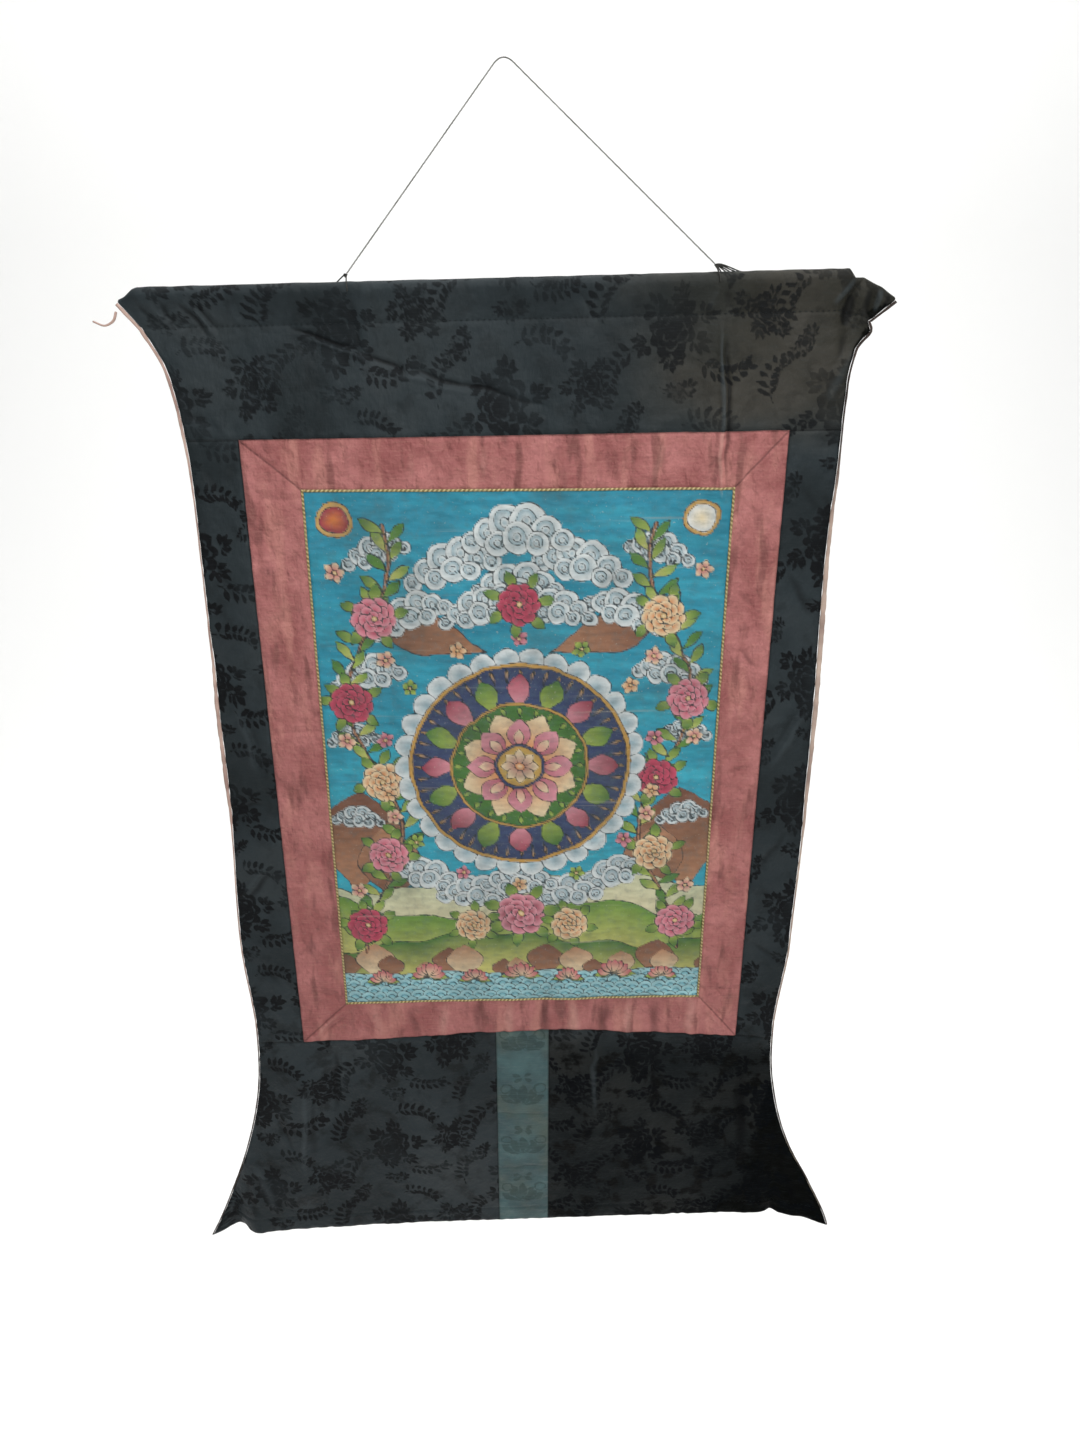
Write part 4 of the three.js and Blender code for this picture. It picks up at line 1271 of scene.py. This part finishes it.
def plain_cotton(name, light, dark, thread, shows=None):
    """Faded cotton with slubs and stains; a strip of it may be soiled dark before and after a length."""
    shader = Shader(name)
    cut = shader.attribute("cut", "Vector")
    cloudy = shader.ramp(shader.noise(cut, 18, 5), 0.3, 0.7)
    base = shader.mix(cloudy, light, dark)
    slubs = shader.ramp(shader.noise(shader.stretch(cut, (50, 50, 480)), 1, 3), 0.45, 0.75, 0, 0.4)
    colour = shader.mix(slubs, base, tuple(0.72 * c for c in dark))
    if shows:
        along = shader.axis(cut, "X")
        before = shader.ramp(along, shows[0] - SOIL_FADE, shows[0] + SOIL_FADE, SOIL_SHARE, 0)
        after = shader.ramp(along, shows[1] - SOIL_FADE, shows[1] + SOIL_FADE, 0, SOIL_SHARE)
        colour = shader.mix(shader.maths("MAXIMUM", before, after), colour, srgb(0x1E1716))
    crumpled = shader.bump(shader.noise(cut, 60, 3, 0.5), 0.003)
    normal = shader.bump(shader.weave(cut, thread), 0.00012, crumpled)
    return shader.finish(colour, shader.ramp(cloudy, 0, 1, 0.75, 0.92), normal, Specular_IOR_Level=0.2)


def rolled_piping():
    """Narrow silk edging, its wrap showing as slanting bands."""
    shader = Shader("rolled_piping")
    cut = shader.attribute("cut", "Vector")
    slanted = shader.maths("ADD", shader.axis(cut, "X"), shader.maths("MULTIPLY", shader.axis(cut, "Y"), 4))
    bands = shader.maths("SINE", shader.maths("MULTIPLY", slanted, 1500))
    tone = shader.ramp(bands, -0.6, 0.8)
    base = shader.mix(tone, srgb(0x6A5C38), srgb(0xA8966A))
    faded = shader.ramp(shader.noise(cut, 35, 4), 0.4, 0.7, 0, 0.6)
    colour = shader.mix(faded, base, srgb(0x8A8160))
    return shader.finish(colour, shader.ramp(tone, 0, 1, 0.8, 0.6), shader.bump(bands, 0.00012),
                         Specular_IOR_Level=0.25)


def string_fibre(name, light, dark):
    """Twisted string: fibres along the plies, soiled in places."""
    shader = Shader(name)
    cut = shader.attribute("cut", "Vector")
    soil = shader.ramp(shader.noise(cut, 40, 4), 0.35, 0.7)
    fibres = shader.noise(shader.stretch(cut, (900, 6000, 900)), 1, 2)
    colour = shader.mix(shader.ramp(fibres, 0.35, 0.65, 0, 0.6), shader.mix(soil, light, dark), dark)
    return shader.finish(colour, shader.ramp(fibres, 0.3, 0.7, 0.75, 0.95), shader.bump(fibres, 0.0002),
                         Specular_IOR_Level=0.2)


def rod_wood():
    """Turned stick with grain along it."""
    shader = Shader("rod_wood_grain")
    place = shader.add("ShaderNodeTexCoord", {}, "Object")
    grain = shader.noise(shader.stretch(place, (8, 260, 260)), 1, 5, 0.6, 0.8)
    base = shader.mix(shader.ramp(grain, 0.35, 0.65), srgb(0x6E5638), srgb(0xA98A60))
    soil = shader.ramp(shader.noise(place, 24, 4), 0.5, 0.75, 0, 0.5)
    colour = shader.mix(soil, base, srgb(0x4F3E2B))
    return shader.finish(colour, shader.ramp(grain, 0.3, 0.7, 0.45, 0.65), shader.bump(grain, 0.0004))


DARK_SILK = dark_silk()
SALMON_SILK = salmon_silk()
DOOR_SILK = door_silk()
PAINTED_CLOTH = painted_cloth()
LINING_CLOTH = plain_cotton("lining_cotton", srgb(0xCFC1A8), srgb(0xC0B196), 0.9)
TAIL_CLOTH = plain_cotton("tail_cotton", srgb(0xBFA598), srgb(0x8F746B), 0.6)
LEFT_BINDING_CLOTH = plain_cotton("left_binding_cotton", srgb(0xBFA598), srgb(0x8F746B), 0.6, (-1, 0.8))
RIGHT_BINDING_CLOTH = plain_cotton("right_binding_cotton", srgb(0xB9A495), srgb(0x87736A), 0.6, (0.17, 0.8))
PIPING_CLOTH = rolled_piping()
STRING_FIBRE = string_fibre("string_fibre_twist", srgb(0x8A8986), srgb(0x55544F))
TIE_FIBRE = string_fibre("tie_fibre_twist", srgb(0x3A3936), srgb(0x171714))
ROD_WOOD = rod_wood()


# Sheets
SEAM_ROLL = 1.0
SEAM_ROLL_WIDTH = 1.8
SEAM_PUCKER = 0.8
SEAM_PUCKER_REACH = 9
UNSEWN = 9.0
STITCH_PITCH = 5
STITCH_SHARE = 0.55
STITCH_RADIUS = 0.28
STITCH_LIFT = 0.1
STITCH_DIP = 0.7
STITCH_DIP_WIDTH = 1.8
STITCH_INSET = 8
SLEEVE_STITCH_ENDS = (-312, 318)
SLEEVE_WIDTH = 670
SLEEVE_TURN_STEPS = 15
SLEEVE_DROP_STEPS = 14
BORDER_WIDTH = 50
BORDER_SPAN = 500
BORDER_DROP = 685
HEM_STEPS = 8
HEM_FOOT_DROP = 0.8


def band_rows(top, bottom, pitch):
    """Rows between two cross seams, a pitch apart."""
    start_z, end_z = SEAM_Z[top], SEAM_Z[bottom]
    return row_at(np.linspace(start_z, end_z, int(abs(end_z - start_z) / pitch) + 1))


def band_grid(left, right, top, bottom, pitch):
    """Grid of x and row between two upright lines and two cross seams."""
    rows = band_rows(top, bottom, pitch)
    start, end = left(rows), right(rows)
    share = np.linspace(0, 1, int(np.max(end - start) / pitch) + 1)
    x = lerp(start[:, None], end[:, None], share[None, :])
    return x, np.broadcast_to(rows[:, None], x.shape)


def mitred_grid(side, pitch):
    """Grid of x and row over one border strip, cut along its mitres."""
    outer_x = (BORDER_LEFT_X, BORDER_RIGHT_X)
    inner_x = (PICTURE_LEFT_X, PICTURE_RIGHT_X)
    outer_row = (SEAM["border top"], SEAM["border bottom"])
    inner_row = (SEAM["picture top"], SEAM["picture bottom"])
    across = np.linspace(0, 1, int(BORDER_WIDTH / pitch) + 1)
    end = 0 if side in ("top", "left") else 1
    if side in ("top", "bottom"):
        along = np.linspace(0, 1, int(BORDER_SPAN / pitch) + 1)
        x = lerp(lerp(outer_x[0], inner_x[0], across)[:, None],
                 lerp(outer_x[1], inner_x[1], across)[:, None], along[None, :])
        row = np.broadcast_to(lerp(outer_row[end], inner_row[end], across)[:, None], x.shape)
        return (x, row) if side == "top" else (x[::-1], row[::-1])
    along = np.linspace(0, 1, int(BORDER_DROP / pitch) + 1)
    top_z = np.interp(lerp(outer_row[0], inner_row[0], across), SEAM_ROWS, SEAM_Z)
    bottom_z = np.interp(lerp(outer_row[1], inner_row[1], across), SEAM_ROWS, SEAM_Z)
    row = row_at(lerp(top_z[None, :], bottom_z[None, :], along[:, None]))
    x = np.broadcast_to(lerp(outer_x[end], inner_x[end], across)[None, :], row.shape)
    return (x, row) if side == "left" else (x[:, ::-1], row[:, ::-1])


def fixed(x):
    return lambda rows: np.full_like(rows, x)


def side(which):
    return lambda rows: edge_x(rows, which)


def cloth_points(x, row, offset):
    z = row_z(row, x)
    return np.stack((x, cloth_depth(x, z) + offset, z), -1)


def edge_distance(points):
    """Distance in the plane of the cloth to the nearest side of a grid."""
    plan = points[..., (0, 2)]
    to_left = np.linalg.norm(plan - plan[:, :1], axis=-1)
    to_right = np.linalg.norm(plan - plan[:, -1:], axis=-1)
    to_top = np.linalg.norm(plan - plan[:1], axis=-1)
    to_bottom = np.linalg.norm(plan - plan[-1:], axis=-1)
    return np.minimum(np.minimum(to_left, to_right), np.minimum(to_top, to_bottom))


def seam_relief(x, z, distance):
    """Depth of a sewn edge: rolled in at the seam, puckered beside it."""
    roll = SEAM_ROLL * np.exp(-((distance / SEAM_ROLL_WIDTH) ** 2))
    pucker = value_noise(x / 6, z / 6, 31) * np.exp(-distance / SEAM_PUCKER_REACH)
    return roll + SEAM_PUCKER * pucker


def stitch_dip(from_seam):
    """Depth of the dip that a line of stitches draws in."""
    return STITCH_DIP * np.exp(-((from_seam / STITCH_DIP_WIDTH) ** 2))


def front_points(x, row):
    """Front of a piece of the mount with its sewn edges, and the values its material reads."""
    points = cloth_points(x, row, -FRONT_DEPTH)
    z = points[..., 2]
    distance = edge_distance(points)
    points[..., 1] += seam_relief(x, z, distance)
    return points, {"edge": distance * MM, "tone": cloth_tone(x, z)}


def plain_cut(points):
    return points * np.array([1, 0, 1])


def settle(piece, name, material):
    """Gives a piece its material, and puts it in place of a solid."""
    piece.data.materials.append(material)
    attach(piece, "root")
    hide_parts(name)
    return piece


def settle_sheet(name, points, cut, attributes, material):
    """Makes one sheet of hung cloth."""
    piece = settle(sheet_mesh(name + "_cloth", points, cut, attributes), name, material)
    return piece


def stitches(name, row, start, end, slot, material):
    """A line of stitches along a cross seam."""
    x = np.linspace(start, end, int((end - start) / 2) + 1)
    path = cloth_points(x, np.full_like(x, row), -FRONT_DEPTH - STITCH_LIFT)
    piece = stitch_mesh(name, path, STITCH_PITCH, STITCH_PITCH * STITCH_SHARE, STITCH_RADIUS)
    piece.data.materials.append(material)
    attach(piece, "root")
    return piece


def sleeve_wrap(share):
    """Lines of points up the back, over the rod, and down the front to just above the sleeve's seam."""
    sleeve_x = lerp(left_edge(0), right_edge(0), share)
    seam_x = lerp(edge_x(0, -1), edge_x(0, 1), share)
    seam_z = row_z(0, seam_x)
    rings = [sleeve_ring(sleeve_x, angle) for angle in np.linspace(0, math.pi, SLEEVE_TURN_STEPS)]
    back, front = [], []
    for drop in np.linspace(0, 1, SLEEVE_DROP_STEPS):
        x = lerp(sleeve_x, seam_x, drop)
        z = lerp(rings[-1][:, 2], seam_z, drop)
        loose = np.maximum(smoothstep(0, 0.5, drop), past_rod(x))
        ease = 0.5 * drop + 0.5 * smoothstep(0, 1, drop)
        for ring, offset, line in ((rings[0], LINING_DEPTH, back), (rings[-1], -FRONT_DEPTH, front)):
            hung = hung_depth(seam_x, seam_z) + offset
            held = ring[:, 1] - fine_depth(sleeve_x, ring[:, 2]) * past_rod(sleeve_x)
            line.append(np.stack((x, lerp(held, hung, ease) + fine_depth(x, z) * loose, z), -1))
    return np.array([*back[:0:-1], *rings, *front[1:-1]])


def hung_front(share):
    """The top panel's front from the sleeve's seam to the border, and its distance to the sewn edges."""
    rows = band_rows(SEAM["sleeve"], SEAM["border top"], SILK_PITCH)[:, None]
    x = lerp(edge_x(rows, -1), edge_x(rows, 1), share[None, :])
    hung = cloth_points(x, np.broadcast_to(rows, x.shape), -FRONT_DEPTH)
    z = hung[..., 2]
    from_side = np.minimum(x - x[:, :1], x[:, -1:] - x)
    distance = np.minimum(z - z[-1:], from_side)
    hung[..., 1] += seam_relief(x, z, distance)
    hung[..., 1] += stitch_dip(np.abs(z - z[:1]))
    return hung, distance


def top_panel():
    """Cloth from its seam at the back, over the rod, and down the front to the border."""
    share = np.linspace(0, 1, int(SLEEVE_WIDTH / SILK_PITCH) + 1)
    hung, distance = hung_front(share)
    points = np.concatenate((sleeve_wrap(share), hung))
    wrapped = np.linalg.norm(np.diff(points, axis=0), axis=-1)
    up = np.concatenate((np.cumsum(wrapped[::-1], axis=0)[::-1], np.zeros((1, len(share)))))
    cut = np.stack((points[..., 0], np.zeros_like(up), up + hung[-1:, :, 2]), -1)
    edge = np.full(up.shape, UNSEWN)
    edge[-len(hung):] = distance
    values = {"figure": silk_figure(cut[..., 0], cut[..., 2]), "edge": edge * MM,
              "tone": cloth_tone(points[..., 0], points[..., 2])}
    sewn = stitches("sleeve_stitches", SEAM["sleeve"], *SLEEVE_STITCH_ENDS, "dark_silk", DARK_SILK)
    return settle_sheet("top_panel", points, cut, values, DARK_SILK)


def hemmed_panel(name, left, right, material, slot, figure_of):
    """A lower panel, its foot turned up behind as a hem."""
    x, row = band_grid(left, right, SEAM["border bottom"], SEAM["hem"], SILK_PITCH)
    front, values = front_points(x, row)
    from_seam = np.abs(front[..., 2] - row_z(np.float64(SEAM["hem seam"]), x))
    front[..., 1] += stitch_dip(from_seam)
    share = np.linspace(0, 1, x.shape[1])
    hem_z, hem_seam_z = SEAM_Z[SEAM["hem"]], SEAM_Z[SEAM["hem seam"]]
    turned_row = row_at(np.linspace(hem_z, hem_seam_z, HEM_STEPS))[:, None]
    turned_x = lerp(left(turned_row), right(turned_row), share[None, :])
    turned = cloth_points(turned_x, np.broadcast_to(turned_row, turned_x.shape), LINING_DEPTH)
    foot = lerp(front[-1:], turned[:1], 0.5) - np.array([0, 0, HEM_FOOT_DROP])
    points = np.concatenate((front, foot, turned))
    cut = plain_cut(points)
    unsewn = np.full((len(points) - len(front), x.shape[1]), UNSEWN * MM)
    values = {"figure": figure_of(cut[..., 0], cut[..., 2]),
              "edge": np.concatenate((values["edge"], unsewn)),
              "tone": cloth_tone(points[..., 0], points[..., 2])}
    start, end = float(x[-1, 0]) + STITCH_INSET, float(x[-1, -1]) - STITCH_INSET
    sewn = stitches(name + "_stitches", SEAM["hem seam"], start, end, slot, material)
    return settle_sheet(name, points, cut, values, material)


def silk_strip(name, left, right):
    grid = band_grid(left, right, SEAM["border top"], SEAM["border bottom"], SILK_PITCH)
    points, values = front_points(*grid)
    values["figure"] = silk_figure(points[..., 0], points[..., 2])
    return settle_sheet(name, points, plain_cut(points), values, DARK_SILK)


def border_strip(where):
    points, values = front_points(*mitred_grid(where, BORDER_PITCH))
    return settle_sheet("border_" + where, points, plain_cut(points), values, SALMON_SILK)


def picture_panel():
    share = np.linspace(0, 1, PICTURE_ROWS)
    rows = row_at(lerp(SEAM_Z[SEAM["picture top"]], SEAM_Z[SEAM["picture bottom"]], share))
    columns = np.linspace(PICTURE_LEFT_X, PICTURE_RIGHT_X, PICTURE_COLUMNS)
    x, row = np.meshgrid(columns, rows)
    points, values = front_points(x, row)
    middle = (PICTURE_LEFT_X + PICTURE_RIGHT_X) / 2
    up = np.broadcast_to((PICTURE_HEIGHT * (1 - share))[:, None], x.shape)
    values["paint"], values["ink"] = paint_picture(x - middle, up)
    return settle_sheet("picture_panel", points, plain_cut(points), values, PAINTED_CLOTH)


def lining(with_pieces):
    x, row = band_grid(side(-1), side(1), SEAM["sleeve"], SEAM["hem seam"], LINING_PITCH)
    points = cloth_points(x, row, LINING_DEPTH + LINING_SLACK)[:, ::-1]
    return settle_sheet("lining", points, plain_cut(points), {}, LINING_CLOTH)


# Trims
FORWARDS = np.array([0.0, -1.0, 0.0])
EDGING_SIDES = 10
PIPING_INSET = 1.5
PIPING_OVERLAP = 1.2
PIPING_STEPS_ACROSS = 200
PIPING_STEPS_DOWN = 290
BINDING_STEPS = 420
BINDING_FRAY = 0.18
BINDING_FRAY_LENGTH = 5
TAIL_STEPS = 30


def edging(name, path, half_width, half_depth, shift, material):
    """A narrow strip along the face of the cloth, moved sideways by a shift."""
    runs = path_runs(path * np.array([1, 0, 1]))
    sideways = np.stack((-runs[:, 2], np.zeros(len(runs)), runs[:, 0]), -1)
    centre = path + sideways * np.reshape(shift, (-1, 1))
    forwards = np.broadcast_to(FORWARDS, path.shape)
    reach = ellipse_reach(np.broadcast_to(half_width, len(path)), half_depth, EDGING_SIDES)
    return settle(tube_mesh(name + "_strip", centre, sideways, forwards, reach), name, material)


def piping(where):
    """Edging over the seam at one side of the picture."""
    if where in ("top", "bottom"):
        row = SEAM["picture " + where]
        x = np.linspace(PICTURE_LEFT_X + PIPING_INSET, PICTURE_RIGHT_X - PIPING_INSET, PIPING_STEPS_ACROSS)
        path = cloth_points(x, np.full_like(x, row), -FRONT_DEPTH)
    else:
        x = PICTURE_LEFT_X if where == "left" else PICTURE_RIGHT_X
        start_z = SEAM_Z[SEAM["picture top"]] + PIPING_OVERLAP
        end_z = SEAM_Z[SEAM["picture bottom"]] - PIPING_OVERLAP
        rows = row_at(np.linspace(start_z, end_z, PIPING_STEPS_DOWN))
        path = cloth_points(np.full_like(rows, x), rows, -FRONT_DEPTH)
    return edging("piping_" + where, path, PIPING_HALF_WIDTH, PIPING_HALF_DEPTH, 0,
                  PIPING_CLOTH)


def binding(which):
    """Folded binding down a side edge, from the front of the sleeve to the hem."""
    name = "edge_binding_left" if which < 0 else "edge_binding_right"
    width_at = binding_left if which < 0 else binding_right
    rows = row_at(np.linspace(SEAM_Z[0], SEAM_Z[-1], BINDING_STEPS))
    x = edge_x(rows, which)
    path = cloth_points(x, rows, 0)
    corner = sleeve_ring(np.array([left_edge(0) if which < 0 else right_edge(0)], float), math.pi)
    upper = lerp(corner, path[:1], np.linspace(0, 1, 8)[:-1, None])
    path = np.concatenate((upper, path))
    width = width_at(-path[:, 2])
    along = path[:, 2] / BINDING_FRAY_LENGTH
    frayed = 1 + BINDING_FRAY * value_noise(along, np.zeros(len(path)), 41 + which)
    material = LEFT_BINDING_CLOTH if which < 0 else RIGHT_BINDING_CLOTH
    return edging(name, path, width / 2 * frayed, BINDING_HALF_DEPTH, which * (BINDING_GAP + width / 2),
                  material)


def binding_tail():
    path = smooth_path(TAIL_PATH, TAIL_STEPS)
    sideways, forwards = steady_frame(path)
    width = TAIL_HALF_WIDTH * (1 + 0.15 * np.sin(np.linspace(0, 9, len(path))))
    reach = ellipse_reach(width, TAIL_HALF_DEPTH, EDGING_SIDES)
    return settle(tube_mesh("binding_tail_strip", path, forwards, sideways, reach),
                  "binding_tail", TAIL_CLOTH)


# String and its ties
STRING_TWIST = 4
TIE_TWIST = 3
KNOT_SIZE = 0.5
KNOT_RADIUS = 0.55
RUN_STEPS = 200
BEND_STEPS = 30
STRAND_STEPS = 70
KNOT_STEPS = 90


def knot_centre(tie):
    """Middle of a knot, just above the sleeve."""
    return np.array([tie["x"], 0, SLEEVE_TOP_Z + SLEEVE_SLOPE * tie["x"] + KNOT_LIFT])


def toward(start, end, reach):
    return start + (end - start) * reach / np.linalg.norm(end - start)


def string_path():
    """Straight from each knot to the bend that hangs over the origin."""
    left, right = (knot_centre(tie) for tie in TIES.values())
    peak = np.array([0, 0, STRING_CROSSING_Z])
    bend_start, bend_end = toward(peak, left, STRING_BEND), toward(peak, right, STRING_BEND)
    share = np.linspace(0, 1, RUN_STEPS)[:, None]
    rise = lerp(toward(left, peak, KNOT_CLEAR), bend_start, share)
    fall = lerp(bend_end, toward(right, peak, KNOT_CLEAR), share)
    turn = np.linspace(0, 1, BEND_STEPS)[1:-1, None]
    bend = (1 - turn) ** 2 * bend_start + 2 * turn * (1 - turn) * peak + turn**2 * bend_end
    return np.concatenate((rise, bend, fall))


def twisted_tube(name, path, radius, pitch):
    reach = twisted_reach(path_lengths(path), radius, pitch)
    return tube_mesh(name, path, *steady_frame(path), reach)


def strand_path(tie, back_lean):
    """Over the sleeve, from the cloth's front up to the knot and down the back."""
    radius = SLEEVE_OUTSIDE + STRAND_GAP + STRING_RADIUS

    def on_sleeve(angle, lean):
        x = tie["x"] + lean
        turn = math.radians(angle)
        return x, radius * math.cos(turn), axis_z(x) + radius * math.sin(turn)

    front = [on_sleeve(90 + angle, lean * tie["front"]) for angle, lean in STRAND_TURNS]
    back = [on_sleeve(90 - angle, lean * back_lean) for angle, lean in STRAND_TURNS]
    return smooth_path([*front[::-1], knot_centre(tie), *back], STRAND_STEPS)


def knot_path(centre, size):
    """A closed loop that crosses itself three times."""
    turn = np.linspace(0, 2 * np.pi, KNOT_STEPS)
    loop = np.stack((np.sin(turn) + 2 * np.sin(2 * turn), -1.3 * np.sin(3 * turn),
                     np.cos(turn) - 2 * np.cos(2 * turn)), -1)
    return centre + loop * size


def string_tie(name):
    """Strands round the sleeve with the knot at their top, in one mesh."""
    tie = TIES[name]
    loop = knot_path(knot_centre(tie), KNOT_SIZE)
    knot = twisted_tube(name + "_strands", loop, KNOT_RADIUS, TIE_TWIST)
    bpy.ops.object.select_all(action="DESELECT")
    knot.select_set(True)
    for lean in tie["back"]:
        strand = twisted_tube(name + "_strand", strand_path(tie, lean), STRING_RADIUS, TIE_TWIST)
        strand.select_set(True)
    bpy.context.view_layer.objects.active = knot
    bpy.ops.object.join()
    return settle(knot, name, TIE_FIBRE)


def hanging_string():
    path = string_path()
    ties = [string_tie(name) for name in TIES]
    string = settle(twisted_tube("hanging_string_twist", path, STRING_RADIUS, STRING_TWIST),
                    "hanging_string", STRING_FIBRE)


top_panel()
silk_strip("side_panel_left", side(-1), fixed(BORDER_LEFT_X))
silk_strip("side_panel_right", fixed(BORDER_RIGHT_X), side(1))
hemmed_panel("bottom_panel_left", side(-1), fixed(DOOR_LEFT_X), DARK_SILK, "dark_silk", silk_figure)
hemmed_panel("bottom_panel_right", fixed(DOOR_RIGHT_X), side(1), DARK_SILK, "dark_silk", silk_figure)
hemmed_panel("door_panel", fixed(DOOR_LEFT_X), fixed(DOOR_RIGHT_X), DOOR_SILK, "door_silk", door_figure)
for border in ("top", "bottom", "left", "right"):
    border_strip(border)
picture_panel()
trims = [piping(where) for where in ("top", "bottom", "left", "right")]
lining(trims + [binding(-1), binding(1), binding_tail()])
hanging_string()
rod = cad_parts["top_rod"]
rod.data.materials.clear()
rod.data.materials.append(ROD_WOOD)


# Stage, light and camera, in metres
CAMERA_PLACE = (0.030, -1.0, -0.1434)
CAMERA_LOOKS_DOWN = 23.3
CAMERA_LENS = 27.04
CAMERA_SENSOR = 36
FLOOR_COLOUR = (0.93, 0.93, 0.92, 1)
WORLD_STRENGTH = 0.32
FLOOR_FRONT_Y = -9
WALL_TOP_Z = 6
FLOOR_Z = -2.05
WALL_Y = 4.0
STAGE_HALF_WIDTH = 9
STAGE_CURVE = 2.0


def add_stage():
    """A pale floor that curves up into a wall behind."""
    turn = np.linspace(0, math.pi / 2, 24)
    curve = [(WALL_Y - STAGE_CURVE + STAGE_CURVE * math.sin(a), FLOOR_Z + STAGE_CURVE * (1 - math.cos(a)))
             for a in turn]
    profile = [(FLOOR_FRONT_Y, FLOOR_Z), *curve, (WALL_Y, WALL_TOP_Z)]
    points = [(x, y, z) for y, z in profile for x in (-STAGE_HALF_WIDTH, STAGE_HALF_WIDTH)]
    faces = [(2 * k, 2 * k + 1, 2 * k + 3, 2 * k + 2) for k in range(len(profile) - 1)]
    mesh = bpy.data.meshes.new("studio_floor")
    mesh.from_pydata(points, [], faces)
    mesh.shade_smooth()
    floor = bpy.data.objects.new("studio_floor", mesh)
    bpy.context.collection.objects.link(floor)
    material = bpy.data.materials.new("pale_paper")
    material.use_nodes = True
    surface = material.node_tree.nodes["Principled BSDF"]
    surface.inputs["Base Color"].default_value = FLOOR_COLOUR
    surface.inputs["Roughness"].default_value = 0.9
    mesh.materials.append(material)


def add_softbox(name, place, target, size, watts, colour):
    light = bpy.data.lights.new(name, "AREA")
    light.shape = "DISK"
    light.size = size
    light.energy = watts
    light.color = colour
    lamp = bpy.data.objects.new(name, light)
    lamp.location = place
    lamp.rotation_euler = (Vector(target) - Vector(place)).to_track_quat("-Z", "Y").to_euler()
    bpy.context.collection.objects.link(lamp)


def add_camera():
    camera = bpy.data.cameras.new("photo_camera")
    camera.lens = CAMERA_LENS
    camera.sensor_width = CAMERA_SENSOR
    viewer = bpy.data.objects.new("photo_camera", camera)
    viewer.location = CAMERA_PLACE
    viewer.rotation_euler = (math.radians(90 - CAMERA_LOOKS_DOWN), 0, 0)
    bpy.context.collection.objects.link(viewer)
    bpy.context.scene.camera = viewer


def add_world(strength):
    world = bpy.data.worlds.new("studio")
    world.use_nodes = True
    world.node_tree.nodes["Background"].inputs["Color"].default_value = (1, 1, 1, 1)
    world.node_tree.nodes["Background"].inputs["Strength"].default_value = strength
    bpy.context.scene.world = world


bpy.context.scene.view_settings.view_transform = "Standard"
add_world(WORLD_STRENGTH)
add_stage()
add_softbox("key", place=(0.5, -1.85, 0.65), target=(0, 0, -0.75), size=1.0, watts=43,
            colour=(0.97, 0.985, 1.0))
add_softbox("backdrop", place=(0, 1.0, 3.0), target=(0, 3.0, -1.4), size=6.0, watts=225,
            colour=(1, 1, 1))
add_camera()
